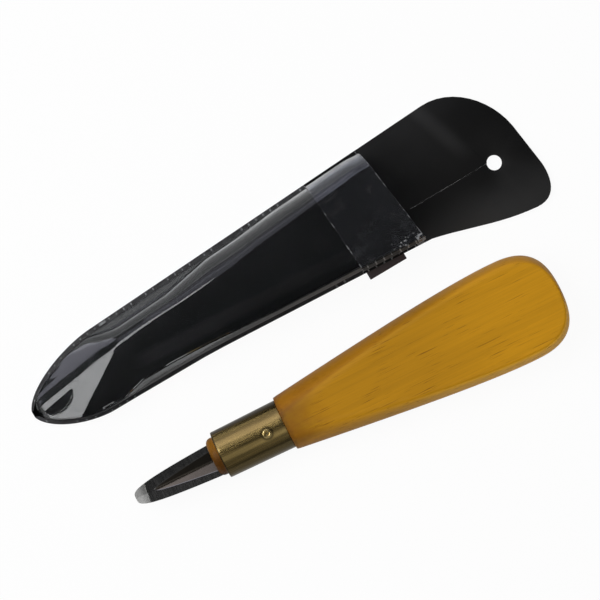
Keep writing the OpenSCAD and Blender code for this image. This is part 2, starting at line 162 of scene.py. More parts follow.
class KnifeSizes(bpy.types.PropertyGroup):
    """Sizes of the knife, in its own frame."""

    turn: angle("Turn", "Turn of the knife against the sheath", 4.74)
    pin_x: length("Pin", "Distance from the tip to the cross pin", 51.1)
    blade_l: length("Blade length", "Length of steel in front of the nose", 30)
    blade_w: length("Blade width", "Width of the blade at the nose", 11.7)
    blade_power: number("Blade bluntness", "How blunt the outline is: lower is blunter", 0.27)
    blade_side: length("Blade offset", "Distance of the blade's middle from the axis", 0.7)
    root_l: length("Root", "Length of the blade's root inside the nose", 4)
    rim_z: length("Rim height", "Height of the flat rim above the axis", 2.2)
    root_t: length("Root thickness", "Thickness of the blade at the nose", 5)
    tip_t: length("Tip thickness", "Thickness of the blade at its tip", 1.5)
    back_r: length("Back radius", "Radius of the round back", 7)
    hollow_depth: length("Hollow depth", "Depth of the hollow at the nose", 1.6)
    hollow_start: length("Hollow start", "Distance from the tip to where the hollow runs out", 7)
    hollow_power: number("Hollow run", "How fast the hollow deepens: 1 is a straight run", 0.75)
    groove_slope: angle("Groove walls", "Slope of the hollow's two walls", 26)
    groove_round: length("Groove bottom", "Rounding of the hollow's bottom", 0.5)
    bevel_l: length("Bevel length", "Length of the bevel at the tip", 4.6)
    bevel_slope: angle("Bevel slope", "Slope of the bevel at the tip", 12)
    bevel_turn: angle("Bevel turn", "Turn of the bevel's inner edge", -8)
    grind_soft: length("Ground edges", "Softness of the edges between ground faces", 0.02)
    grind_crease: angle("Ground creases", "Angle from which an edge of the blade is a crease", 9)
    nose_l: length("Nose length", "Wood that shows in front of the ferrule", 3)
    nose_d: length("Nose", "Diameter of the nose", 14)
    nose_round: length("Nose rounding", "Rounding of the nose's front edge", 2)
    tenon_front_d: length("Tenon front", "Diameter of the tenon at its front", 15.1)
    tenon_back_d: length("Tenon back", "Diameter of the tenon at the shoulder", 15.8)
    ferrule_l: length("Ferrule length", "Length of the brass ferrule", 25)
    ferrule_front_d: length("Ferrule front", "Diameter of the ferrule at its front", 17.2)
    ferrule_back_d: length("Ferrule back", "Diameter of the ferrule at the shoulder", 17.9)
    ferrule_wall: length("Ferrule wall", "Wall of the ferrule", 1)
    ferrule_edge: length("Ferrule edge", "Rounding of the ferrule's outer edges", 0.3)
    pin_d: length("Pin shank", "Diameter of the pin's shank", 2.4)
    pin_head_d: length("Pin head", "Diameter of the pin's rolled ends", 3.2)
    pin_hollow_d: length("Pin hollow", "Diameter of the hollow in the pin", 1.4)
    pin_depth: length("Pin depth", "Depth of the hollow in the pin", 2)
    grip_l: length("Grip length", "Length of the grip behind the ferrule", 106.5)
    shoulder_d: length("Shoulder", "Diameter of the grip at its shoulder", 19.8)
    shoulder_edge: length("Shoulder edge", "Rounding of the shoulder's front edge", 0.4)
    grip_flare: angle("Grip flare", "Flare of the grip's side at the shoulder", 7.2)
    grip_d: length("Grip width", "Largest diameter of the turned grip", 37)
    grip_widest: length("Widest place", "Distance from the shoulder to the largest diameter", 87.5)
    grip_belly: number("Grip belly", "How early the grip swells: lower is earlier", 0.82)
    butt_power: number("Butt squareness", "How square the butt is: 2 is an ellipse", 2.8)
    grip_t: length("Grip thickness", "Thickness between the two flats", 18.8)
    grip_soft: length("Grip edges", "Softness of the edges between flats and sides", 1.4)
    turned_below: length("Turned colour", "Depth below a flat where the colour of the sides starts", 0.6)
    flat_above: length("Flat colour", "Wood cut away over a flat where the sides' colour ends", 0.9)


class SheathSizes(bpy.types.PropertyGroup):
    """Sizes of the sheath, in its own frame."""

    hole_x: length("Hole", "Distance from the tip to the hanging hole", 184.5)
    hole_low: length("Hole drop", "Distance of the hanging hole below the axis", 6.8)
    mouth_x: length("Mouth", "Distance from the tip to the pocket's mouth", 147)
    mouth_slant: angle("Mouth slant", "Slant of the mouth's edge", 6.9)
    tip_l: length("Tip length", "Length over which the upper edge rounds to the tip", 32)
    tip_power: number("Tip point", "How pointed that rounding is: lower is more pointed", 1.75)
    lower_tip_l: length("Lower tip length", "Length over which the lower edge rounds to the tip", 25.5)
    lower_tip_power: number("Lower tip point", "How pointed the lower rounding is", 1.7)
    upper_w: length("Upper width", "Distance from the axis to the upper edge behind the tip", 15.75)
    lower_w: length("Lower width", "Distance from the axis to the lower edge behind the tip", 13.25)
    edge_taper: angle("Upper taper", "Taper of the upper edge", 3.15)
    lower_taper: angle("Lower taper", "Taper of the lower edge behind its bend", 3.4)
    lower_bend_x: length("Lower bend", "Distance from the tip to the lower edge's bend", 62)
    bend_half: length("Bend half", "Half the length of that bend", 12)
    seam_w: length("Upper seam", "Width of the welded seam along the upper edge", 2)
    seam_spread: length("Upper spread", "Widening of the upper seam at the mouth", 0.6)
    seam_spread_x: length("Spread start", "Distance from the tip to where that widening starts", 140)
    lower_seam_w: length("Lower seam", "Width of the welded seam along the lower edge", 1.8)
    lower_spread: length("Lower spread", "Widening of the lower seam at the tip", 0.6)
    lower_spread_ends: stretch("Lower spread's end", "Where that widening runs out", 10, 18)
    film_t: length("Film", "Thickness of the clear film", 0.5)
    film_x0: length("Film start", "Distance from the tip to where the film climbs", 2.5)
    first_row_x: length("First row", "Distance from the tip to the film's first row", 0.25)
    tip_climb: number("First climb", "Slope of the film's first climb from the tip's seam", 1.3)
    mouth_h: length("Mouth height", "Room under the film at the mouth", 21.5)
    knee_x: length("Knee", "Distance from the tip to the knee between facet and flat, on the axis", 30)
    knee_turn: angle("Knee turn", "Turn of the knee's slanting line", 58)
    knee_h: length("Knee height", "Room under the film at the knee, on the axis", 9.4)
    knee_blend: length("Knee rounding", "Rounding of the film at the knee", 0.12)
    facet_fall: number("Facet fall", "Slope by which the tip's facet falls in front of the knee", 0.17)
    flat_lean: number("Flat lean", "Slope by which the flat leans to its lower side at the knee", 0.07)
    lean_end_x: length("Lean end", "Place at which that lean has run out", 90)
    crest_tip: number("Crest at tip", "Place of the film's crest across the pocket, at the tip", 0.59)
    crest_mouth: number("Crest at mouth", "Place of the film's crest across the pocket, at the mouth", 0.86)
    crest_dip: number("Crest dip", "How far the crest dips to the lower side in its middle", 0.022)
    crest_dips: stretch("Dip's start", "Where that dip starts", 50, 70)
    crest_returns: stretch("Dip's end", "Where that dip ends", 84, 100)
    crease_x: length("Crease", "Distance from the tip to where the crest becomes a crease", 38)
    upper_slope: number("Upper slope", "Slope of the film's upper side away from its crest", 0.62)
    upper_round: number("Upper side", "How square the upper side is along its foot", 2.6)
    upper_foot: number("Upper foot", "How upright the upper side's foot is: lower is steeper", 0.3)
    roll_slope: number("Roll slope", "Slope at which the film leaves its crest", 0.36)
    roll_l: length("Roll length", "Length over which the film rolls over from there", 2.2)
    tight_slope: number("Tight slope", "How much flatter it leaves the crest where the roll is tight", 0.21)
    tight_l: length("Tight roll", "How much shorter the roll is where it is tight", 0.5)
    roll_tightens: stretch("Roll tightens", "Where the roll becomes tight", 34, 42)
    roll_loosens: stretch("Roll loosens", "Where the roll becomes loose again", 72, 95)
    ripple_h: length("Ripples", "Height of the ripples beside the crest at the tip", 0.03)
    ripple_l: length("Ripple length", "Length of a radian of those ripples", 0.4)
    ripple_in: length("Ripple start", "Distance from the crest at which they have their full height", 2)
    ripples_end: stretch("Ripples' end", "Where the ripples fade out", 12, 24)
    skirt_w: length("Skirt width", "Width of the low skirt beside the upper seam", 3.2)
    skirt_h: length("Skirt height", "Height of that skirt", 2.55)
    skirt_rise: number("Skirt rise", "Share of its width over which the skirt rises", 0.87)
    skirt_grows: stretch("Skirt grows", "Where the skirt grows to its full width", 27, 42)
    skirt_narrows: stretch("Skirt narrows", "Where the skirt narrows", 62, 80)
    skirt_loss: number("Skirt loss", "Share of its width that the skirt loses there", 0.75)
    skirt_ends: stretch("Skirt ends", "Where the skirt runs out", 92, 112)
    skirt_least: number("Skirt least", "Smallest share of the skirt's width that is left", 0.02)
    shoulder_w: length("Shoulder width", "Width of the film's lower shoulder", 2.4)
    shoulder_slope: number("Shoulder slope", "Slope of the film's lower shoulder", 2.5)
    shoulder_power: number("Shoulder", "How round the lower shoulder is: 1 is a straight slope", 0.9)
    shoulder_grows: stretch("Shoulder grows", "Where the shoulder grows to its full width", 31, 40)
    shoulder_narrows: stretch("Shoulder narrows", "Where the shoulder narrows", 52, 92)
    shoulder_loss: number("Shoulder loss", "Share of its width that the shoulder loses there", 0.55)
    shoulder_least: number("Shoulder least", "Smallest share of the shoulder's width that is left", 0.03)
    side_lean: length("Side lean", "Lean of the film's lower side over its height", 0.2)
    wave_h: length("Waves", "Height of the waves in the film's flat", 0.12)
    wave_l: length("Wave length", "Length of those waves", 26)
    wave_across: number("Waves across", "How many times shorter the waves are across the film", 1.6)
    wave_draw: number("Wave draw", "Which of all possible sets of waves is taken", 0.37)
    waves_grow: stretch("Waves grow", "Where the waves grow to their full height", 38, 70)
    dent_slope: number("Dent", "Slope of the leaf-shaped dent in the tip's facet", 0.3)
    dent_span: stretch("Dent span", "Where that dent starts and ends", 4.5, 16.8)
    dent_w: length("Dent width", "Driving width of the dent", 8)
    dent_front: number("Dent front", "How pointed the dent's front is: higher is more pointed", 0.55)
    dent_back: number("Dent back", "How pointed the dent's back is: higher is more pointed", 0.5)
    dent_low: length("Dent place", "Distance of the dent's upper edge below the axis at its front", 1)
    dent_slant: number("Dent slant", "Slope of the dent's upper edge across the facet", 0.175)
    dent_lip: number("Dent lip", "Slope by which the dent rises at its lower edge", 3)
    band_l: length("Band", "Length of the band that doubles the mouth", 23)
    band_t: length("Band thickness", "Thickness of that band", 0.5)
    fit_gap: length("Fit", "Clearance between the film and its band", 0.05)
    back_t: length("Back sheet", "Thickness of the back sheet", 1.2)
    back_edge: length("Back sheet's edge", "Rounding of the back sheet's cut edges", 0.15)
    back_crease: angle("Back creases", "Angle from which an edge of the back sheet is a crease", 35)
    slit_y: length("Slit", "Distance of the slit above the hanging hole's centre", 1.1)
    slit_open: length("Slit opening", "Width to which the slit's lips stand open", 0.02)
    slit_reach: length("Slit reach", "Largest distance of a lip of the cut slit from its middle", 0.25)
    slit_span: stretch("Slit span", "Distances from the hole between which the slit lies", 2, 40)
    strap_edge: length("Strap edge", "Rounding of the strap's edges", 0.2)


class FilmMarks(bpy.types.PropertyGroup):
    """Ticks of the weld and whitened places of the film and its band."""

    tick_pitch: length("Weld ticks", "Distance between the weld's ticks", 3.1)
    tick_half: number("Tick width", "Half of a tick, as a share of that distance", 0.08)
    tick_patch: length("Tick patches", "Length of the patches in which ticks are missing", 5)
    tick_level: number("Missing ticks", "Level of the patches below which ticks are missing", -0.15)
    tip_end: length("Tip's ticks", "Distance from the tip to where the tip's short ticks end", 36)
    upper_end: length("Upper ticks", "Distance from the tip to where the upper seam's ticks end", 134)
    lower_start: length("Lower ticks", "Distance from the tip to where the lower seam's ticks start", 112)
    nick_along: stretch("Nick", "Ends of the white nick by the lower edge", 23.6, 27.4)
    nick_inset: stretch("Nick's sides", "Distances of that nick's sides from the lower edge", 2.5, 2.85)
    bar_along: stretch("Nick's bar", "Front and back of the bar across the nick's end", 23.2, 23.7)
    bar_inset: stretch("Bar's ends", "Distances of that bar's ends from the lower edge", 2.1, 2.95)
    hem_grows: stretch("Hem grows", "Where the welded hem climbs the lower wall", 34, 44)
    # Where the weld spreads over the shoulder as a painted reflection band.
    painted_band_widens: stretch("Hem widens", "Where that hem takes in the shoulder", 62, 84)
    tear_grain: length("Tear grain", "Size of the grain of torn and cut film", 1.7)
    tear_w: length("Tear width", "Width of the torn corner of the band", 3.4)
    tear_l: length("Tear length", "Length of that torn corner", 2.6)
    tear_level: number("Torn white", "Level of the grain from which the torn corner is white", -0.25)
    cut_w: length("Cut edges", "Width of the band's two cut edges", 0.3)
    mouth_level: number("Mouth white", "Level of the grain from which the mouth's edge is white", 0.1)
    inner_level: number("Inner white", "Level of the grain from which the band's inner edge is white", 0.15)
    band_tick_level: number("Band ticks", "Level of the grain from which the band's ticks are white", -0.3)
    scuff_grain: length("Scuff size", "Size of the band's scuffs", 0.7)
    scuff_level: number("Scuffs", "Level from which the band's scuffs are white", 0.74)
    corner_w: length("Corner width", "Width of the scuffed corner of the band", 5)
    corner_l: length("Corner length", "Length of that scuffed corner", 11)
    corner_level: number("Corner scuffs", "Level from which scuffs in that corner are white", 0.42)


class Finishes(bpy.types.PropertyGroup):
    """Colours of the finishes, with the light and shade that is painted into some of them."""

    wood: colour("Wood", "Varnished wood on the grip's flats", 186, 132, 18)
    # The side colour is the sides' browner wood and also painted shade on them; the butt colour is painted
    # light on those sides.
    side_wood_and_shade: colour("Wood sides", "Browner wood on the turned sides", 163, 109, 16)
    painted_butt_light: colour("Wood butt", "Paler wood round the butt", 226, 168, 50)
    # The nose colour is its dark wood and also painted shade, deepest low on the nose.
    nose_wood_and_shade: colour("Wood nose", "Dark wood of the nose", 78, 46, 4)
    wood_stain: colour("Wood stain", "Red-brown stain near the ferrule", 130, 74, 14)
    wood_pore: colour("Wood pores", "Dark dashes of the grain", 100, 62, 12)
    brass: colour("Brass", "Aged brass", 196, 169, 107)
    # The tarnish colour also paints shade on the ferrule's lower side.
    tarnish_and_shade: colour("Tarnish", "Dark streaks on the brass", 92, 80, 52)
    # Painted shade along the ferrule's upper side and its front edge by the nose.
    painted_edge_shade: colour("Dark edge", "Darkest tarnish, along the upper side and the front", 70, 60, 40)
    pin: colour("Pin", "Brighter brass of the pin's rolled ends", 228, 204, 140)
    steel: colour("Steel", "Dark polished steel", 152, 152, 151)
    # Warm tint painted into the blade's hollow, a painted reflection.
    hollow_reflection_tint: colour("Steel hollow", "Warmer steel in the blade's hollow", 161, 152, 138)
    vinyl: colour("Vinyl", "Black back sheet", 24, 24, 24)
    film: colour("Film", "Clear film", 246, 249, 252)
    band: colour("Band", "Hazy film of the band", 236, 238, 245)
    whitened: colour("Whitened film", "Film that has gone white at welds and cut edges", 158, 160, 162)
    # Also the painted grey reflection band on the film's lower shoulder.
    weld: colour("Weld", "Film that is fused to the back sheet", 40, 40, 42)
    strap: colour("Strap", "Black-olive strap", 66, 57, 59)


class StageSettings(bpy.types.PropertyGroup):
    """Camera, colours of the lamps, floor and room."""

    aim: FloatVectorProperty(
        name="Aim",
        description="Point in the middle of the picture",
        default=(-83.3 * MM, -6.5 * MM, 4 * MM),
        unit="LENGTH",
    )
    roll: angle("Roll", "Turn of the camera about the vertical", -30.8)
    field: length("Field", "Width of the picture at the aim", 210)
    lens: number("Lens", "Focal length in millimetres", 150)
    key: colour("Key light", "Colour of the key, crest, front and top lamps", 255, 255, 255)
    fill: colour("Fill light", "Colour of the side, band, back and tip lamps", 240, 238, 255)
    floor_half: length("Floor", "Half the length of the floor's sides", 4000)
    floor_tone: number("Floor tone", "Tone of the floor's own pale grey", 0.85)
    floor_seen: number("Floor white", "Share of plain white in the floor that the camera sees", 0.94)
    floor_mirrored: number("Floor mirrored", "Strength of that white in reflections", 0.52)
    wall_level: number("Walls", "Light of the room's walls", 0.065)
    ceiling_level: number("Ceiling", "Light of the room's ceiling", 0.035)
    front_level: number("Front", "Light that the front of the room has more", 0.08)
    front_turn: angle("Front turn", "Turn of the room's front from the picture's right side", -64)


def add(tree, kind, inputs=None, **settings):
    """Adds a node, applies its settings, then sets or links its inputs by name or number."""
    node = tree.nodes.new(kind)
    for key, value in settings.items():
        setattr(node, key, value)
    for key, value in (inputs or {}).items():
        if isinstance(value, bpy.types.NodeSocket):
            tree.links.new(value, node.inputs[key])
        else:
            node.inputs[key].default_value = value
    return node


def maths(tree, operation, *values):
    """Output of a Math node over sockets or numbers."""
    return add(tree, "ShaderNodeMath", dict(enumerate(values)), operation=operation).outputs[0]


def chain(tree, operation, first, *others):
    """Output of a row of Math nodes that takes up one socket or number after another."""
    for other in others:
        first = maths(tree, operation, first, other)
    return first


def opaque(value):
    """A colour with its alpha, where value isn't a socket already."""
    return value if isinstance(value, bpy.types.NodeSocket) else (*value, 1)


def mix(tree, factor, first, second):
    """Output of a colour mix from first, at 0, to second, at 1."""
    sides = {0: factor, 6: opaque(first), 7: opaque(second)}
    return add(tree, "ShaderNodeMix", sides, data_type="RGBA").outputs[2]


def toned(tree, ground, tone):
    """A colour made darker or lighter by a tone."""
    return add(tree, "ShaderNodeVectorMath", {0: ground, 1: tone}, operation="MULTIPLY").outputs[0]


def remap(tree, value, low, high, start=0.0, end=1.0):
    """Output of a soft step that goes from start, at low, to end, at high."""
    places = {"Value": value, "From Min": low, "From Max": high, "To Min": start, "To Max": end}
    return add(tree, "ShaderNodeMapRange", places, interpolation_type="SMOOTHSTEP").outputs["Result"]


def noise_value(tree, vector, scale, detail=2.0, rough=0.5):
    """Value of a noise texture at so many waves to a unit of vector."""
    places = {"Vector": vector, "Scale": scale, "Detail": detail, "Roughness": rough}
    return add(tree, "ShaderNodeTexNoise", places).outputs["Fac"]


def over_noise(tree, value, start, end):
    """Output of a soft step from start to end over a noise's usual range."""
    return remap(tree, value, NOISE_LOW, NOISE_HIGH, start, end)


def axes(tree, vector):
    """The X, Y and Z of a vector."""
    return add(tree, "ShaderNodeSeparateXYZ", {0: vector}).outputs


def new_material(name):
    """An empty node material and its Principled shader."""
    material = bpy.data.materials.new(name)
    material.use_nodes = True
    tree = material.node_tree
    tree.nodes.clear()
    shader = add(tree, "ShaderNodeBsdfPrincipled")
    add(tree, "ShaderNodeOutputMaterial", {"Surface": shader.outputs["BSDF"]})
    return material, tree, shader


def placed_material(name, matrix):
    """A new material, its shader, and object coordinates in the frame of matrix, in millimetres."""
    material, tree, shader = new_material(name)
    settings = {
        "Vector": add(tree, "ShaderNodeTexCoord").outputs["Object"],
        "Location": matrix.to_translation(),
        "Rotation": matrix.to_euler(),
        "Scale": (MM, MM, MM),
    }
    where = add(tree, "ShaderNodeMapping", settings, vector_type="TEXTURE").outputs["Vector"]
    return material, tree, shader, where


def join(tree, socket, shader, name):
    """Links a socket to an input of the shader."""
    tree.links.new(socket, shader.inputs[name])


def bump(tree, shader, height, distance, strength=1.0):
    """Gives the shader a bump of that height, in metres."""
    places = {"Height": height, "Distance": distance, "Strength": strength}
    join(tree, add(tree, "ShaderNodeBump", places).outputs["Normal"], shader, "Normal")


def streak_group():
    """Node group for marks that run along X: a noise that is drawn out to Length and is Width wide."""
    group = bpy.data.node_groups.get("long_streaks")
    if group:
        return group
    group = bpy.data.node_groups.new("long_streaks", "ShaderNodeTree")
    for name, kind in (("Vector", "Vector"), ("Length", "Float"), ("Width", "Float")):
        group.interface.new_socket(name, in_out="INPUT", socket_type="NodeSocket" + kind)
    group.interface.new_socket("Value", in_out="OUTPUT", socket_type="NodeSocketFloat")
    entry = add(group, "NodeGroupInput")
    parts = axes(group, entry.outputs["Vector"])
    along = maths(group, "DIVIDE", parts["X"], entry.outputs["Length"])
    across = [maths(group, "DIVIDE", parts[axis], entry.outputs["Width"]) for axis in "YZ"]
    drawn = add(group, "ShaderNodeCombineXYZ", {"X": along, "Y": across[0], "Z": across[1]}).outputs[0]
    add(group, "NodeGroupOutput", {"Value": noise_value(group, drawn, 1.0, 2.0, 0.6)})
    return group


def streaks(tree, vector, along, width):
    """Value of the streak group with marks of that length and width."""
    places = {"Vector": vector, "Length": along, "Width": width}
    return add(tree, "ShaderNodeGroup", places, node_tree=streak_group()).outputs["Value"]


def wood_ground(tree, finish, parts, on_side, on_nose):
    """Colour of the clean wood: flats, turned sides browner from their grain and from painted shade, painted
    lighter to the butt and on the lower side, and a dark nose with painted shade low and painted light on
    its upper side.
    """
    # Painted light: the turned sides are painted paler towards the lower side and towards the butt.
    painted_lower_light = maths(tree, "MULTIPLY_ADD", remap(tree, parts["Y"], 2.0, -8.0), 0.85, 0.15)
    painted_lower_light = maths(tree, "MAXIMUM", painted_lower_light, remap(tree, parts["X"], 85.0, 150.0, 0.15, 0.3))
    painted_side_light = maths(tree, "MULTIPLY", remap(tree, parts["X"], 60.0, 140.0, 0.35, 1.0), painted_lower_light)
    sides = mix(tree, painted_side_light, finish.side_wood_and_shade, finish.painted_butt_light)
    ground = mix(tree, on_side, finish.wood, sides)
    # Painted light and shade: the nose is dark low down and painted lighter towards its upper side.
    painted_nose_light = remap(tree, parts["Y"], -2.0, 5.0, 0.0, 0.45)
    nose = mix(tree, painted_nose_light, finish.nose_wood_and_shade, finish.side_wood_and_shade)
    return mix(tree, on_nose, ground, nose)


def wood_wear(tree, where, parts, on_nose):
    """Tone of the handled wood: soiled behind the shoulder, ragged grime there, lighter at the butt."""
    soiled = remap(tree, parts["X"], 57.0, 74.0, 0.54, 0.93)
    upper = remap(tree, parts["Y"], 1.0, 7.0, 0.0, 0.93)
    lower = remap(tree, parts["Y"], -6.0, -9.0, 0.0, 0.93)
    soiled = chain(tree, "MAXIMUM", soiled, upper, lower)
    ragged = maths(tree, "MULTIPLY_ADD", noise_value(tree, where, 0.8, 3.0), 3.0, 57.6)
    grime = remap(tree, maths(tree, "SUBTRACT", parts["X"], ragged), -0.6, 0.6, 0.62, 1.0)
    wear = maths(tree, "ADD", soiled, remap(tree, parts["X"], 105.0, 150.0, 0.0, 0.2))
    return maths(tree, "MAXIMUM", maths(tree, "MULTIPLY", wear, grime), on_nose)


def varnished_wood(finish, matrix):
    """Yellow varnish over straight grain, with dark pores, stains, and turned sides browner from their grain
    and from painted shade.
    """
    material, tree, shader, where = placed_material("varnished_wood", matrix)
    fibre = streaks(tree, where, 30.0, 0.4)
    figure = streaks(tree, where, 60.0, 4.0)
    turned = add(tree, "ShaderNodeAttribute", attribute_name="turned").outputs["Fac"]
    on_side, on_nose = remap(tree, turned, 0.1, 0.9), remap(tree, turned, 1.1, 1.9)
    parts = axes(tree, where)
    tone = maths(tree, "MULTIPLY_ADD", fibre, 0.3, maths(tree, "MULTIPLY_ADD", figure, 0.3, 0.7))
    tone = maths(tree, "MULTIPLY", tone, wood_wear(tree, where, parts, on_nose))
    shaded = toned(tree, wood_ground(tree, finish, parts, on_side, on_nose), tone)
    mottle = remap(tree, noise_value(tree, where, 0.17, 5.0, 0.6), 0.25, 0.75)
    near = remap(tree, parts["X"], 80.0, 58.0, 0.0, 0.55)
    behind = remap(tree, parts["X"], 57.5, 58.0)
    shaded = mix(tree, chain(tree, "MULTIPLY", mottle, near, behind), shaded, finish.wood_stain)
    pore = remap(tree, streaks(tree, where, 17.0, 0.36), 0.61, 0.67)
    patch = remap(tree, noise_value(tree, where, 0.09), 0.42, 0.62)
    dashes = maths(tree, "MULTIPLY", pore, maths(tree, "MULTIPLY_ADD", patch, 0.6, 0.15))
    join(tree, mix(tree, dashes, shaded, finish.wood_pore), shader, "Base Color")
    join(tree, over_noise(tree, fibre, 0.42, 0.52), shader, "Roughness")
    bump(tree, shader, maths(tree, "MULTIPLY_ADD", dashes, -1.0, fibre), 0.04 * MM, 0.4)
    shader.inputs["Specular IOR Level"].default_value = 0.15
    return material


def aged_brass(knife, finish, matrix):
    """Dull brass with long dark tarnish streaks, painted shade on its lower and upper sides and along its
    front edge, and a brighter pin in a dark ring.
    """
    material, tree, shader, where = placed_material("aged_brass", matrix)
    broad = remap(tree, streaks(tree, where, 40.0, 2.6), 0.38, 0.62)
    fine = streaks(tree, where, 16.0, 0.3)
    parts = axes(tree, where)
    pin_top = (knife.pin_x / MM, 0, 9)
    apart = add(tree, "ShaderNodeVectorMath", {0: where, 1: pin_top}, operation="DISTANCE")
    from_pin = apart.outputs["Value"]
    within, outside = remap(tree, from_pin, 3.0, 2.0), remap(tree, from_pin, 1.4, 1.7, 0.0, 0.8)
    ring = maths(tree, "MULTIPLY", within, outside)
    # Painted shade on the lower side, mixed in with the real tarnish of the streaks and of the ring round
    # the pin.
    lower = remap(tree, parts["Y"], -3.4, -5.6)
    dark = chain(tree, "MAXIMUM", lower, maths(tree, "MULTIPLY", broad, 0.45), ring)
    ground = mix(tree, dark, finish.brass, finish.tarnish_and_shade)
    # Painted shade along the upper side and at the front edge by the nose.
    upper, front = remap(tree, parts["Y"], 7.2, 7.8), remap(tree, parts["X"], 33.6, 33.2)
    ground = mix(tree, maths(tree, "MAXIMUM", upper, front), ground, finish.painted_edge_shade)
    ground = mix(tree, remap(tree, from_pin, 1.75, 1.6), ground, finish.pin)
    uneven_tone = maths(tree, "MULTIPLY_ADD", fine, 0.24, 0.88)
    join(tree, toned(tree, ground, uneven_tone), shader, "Base Color")
    join(tree, over_noise(tree, fine, 0.22, 0.3), shader, "Roughness")
    bump(tree, shader, maths(tree, "ADD", fine, broad), 0.02 * MM, 0.2)
    shader.inputs["Metallic"].default_value = 1.0
    return material


def polished_steel(finish, matrix):
    """Dark polished steel with faint grinding lines across and a dull bright bevel, with painted
    reflections: a warm tint in the hollow, and light and shade painted on rims, walls and bevel.
    """
    material, tree, shader, where = placed_material("polished_steel", matrix)
    crosswise = {"Vector": where, "Rotation": (0, 0, math.radians(90))}
    lines = streaks(tree, add(tree, "ShaderNodeMapping", crosswise).outputs[0], 6.0, 0.12)
    cloud = noise_value(tree, where, 0.35, 3.0)
    parts = axes(tree, where)
    bevel = remap(tree, parts["X"], 5.2, 4.2)
    flat = maths(tree, "MAXIMUM", remap(tree, parts["Z"], 2.05, 2.16), bevel)
    # Painted light and shade: the lower rim lighter than the upper one, the bevel darker towards its inner
    # edge.
    bevel_shade = remap(tree, parts["X"], 4.0, 1.6, -0.42, -0.06)
    rim = remap(tree, parts["Y"], -0.9, -0.5, 1.1, 0.85)
    rim = maths(tree, "MULTIPLY_ADD", bevel, bevel_shade, rim)
    # Painted reflection: the hollow's lower wall darkens towards the nose and its upper side is painted
    # darker still.
    painted_wall_light = remap(tree, parts["X"], 8.0, 29.0, 0.75, 0.5)
    wall = maths(tree, "MULTIPLY", painted_wall_light, remap(tree, parts["Y"], -0.9, -0.5, 1.0, 0.4))
    faces = maths(tree, "MULTIPLY_ADD", flat, maths(tree, "SUBTRACT", rim, wall), wall)
    tone = maths(tree, "MULTIPLY", maths(tree, "MULTIPLY_ADD", cloud, 0.3, 0.82), faces)
    # Painted reflection tint: the hollow takes a warmer colour than the rim.
    ground = mix(tree, flat, finish.hollow_reflection_tint, finish.steel)
    join(tree, toned(tree, ground, tone), shader, "Base Color")
    dull = maths(tree, "MULTIPLY", bevel, 0.4)
    rough = maths(tree, "MAXIMUM", over_noise(tree, lines, 0.12, 0.26), dull)
    join(tree, rough, shader, "Roughness")
    smoothed = maths(tree, "MULTIPLY", lines, remap(tree, bevel, 0.0, 1.0, 1.0, 0.2))
    bump(tree, shader, smoothed, 0.01 * MM, 0.3)
    shader.inputs["Metallic"].default_value = 1.0
    return material


def vinyl_tone_and_painted_light(tree, parts):
    """Tone of the sheet: darker towards the tip and from the mouth back over the tab, lighter along a line
    down the pocket, with a painted sheen across the tab and painted light on its lower corner.
    """
    along, aside = parts["X"], parts["Y"]
    uneven_tone = remap(tree, along, 60.0, 100.0, 0.15, 0.9)
    uneven_tone = maths(tree, "ADD", uneven_tone, remap(tree, along, 143.0, 147.0, 0.0, -0.4))
    from_middle = maths(tree, "ADD", aside, maths(tree, "MULTIPLY_ADD", along, 0.067, 0.15))
    lighter_line = remap(tree, maths(tree, "ABSOLUTE", from_middle), 4.0, 1.0, 0.0, 2.3)
    begun, ended = remap(tree, along, 36.0, 48.0), remap(tree, along, 142.0, 132.0)
    uneven_tone = maths(tree, "MAXIMUM", uneven_tone, chain(tree, "MULTIPLY", lighter_line, begun, ended))
    # Painted sheen: a soft light streak across the tab, where it bends.
    from_sheen_line = maths(tree, "MULTIPLY_ADD", aside, 0.31, maths(tree, "SUBTRACT", along, 177.4))
    painted_bend_sheen = remap(tree, maths(tree, "ABSOLUTE", from_sheen_line), 4.6, 0.3, 0.0, 0.95)
    painted_bend_sheen = maths(tree, "MULTIPLY", painted_bend_sheen, remap(tree, aside, -4.0, 10.0))
    # Painted light: the tab's lower corner is painted lighter.
    corner = remap(tree, aside, -7.0, -25.0, 0.0, 1.6)
    corner = maths(tree, "MULTIPLY", corner, remap(tree, along, 144.0, 152.0))
    return maths(tree, "ADD", uneven_tone, maths(tree, "ADD", painted_bend_sheen, corner))


def black_vinyl(finish, matrix):
    """Satin black sheet with a fine grain, duller on the tab than inside the pocket, with painted sheen and
    painted light on the tab.
    """
    material, tree, shader, where = placed_material("black_vinyl", matrix)
    grain = noise_value(tree, where, 3.2, 3.0)
    cloud = noise_value(tree, where, 0.05, 2.0)
    tone = maths(tree, "MULTIPLY_ADD", cloud, 0.4, 0.8)
    tone = maths(tree, "MULTIPLY", tone, vinyl_tone_and_painted_light(tree, axes(tree, where)))
    join(tree, toned(tree, tuple(finish.vinyl), tone), shader, "Base Color")
    join(tree, over_noise(tree, cloud, 0.36, 0.48), shader, "Roughness")
    bump(tree, shader, grain, 0.03 * MM, 0.35)
    shader.inputs["Specular IOR Level"].default_value = 0.3
    return material


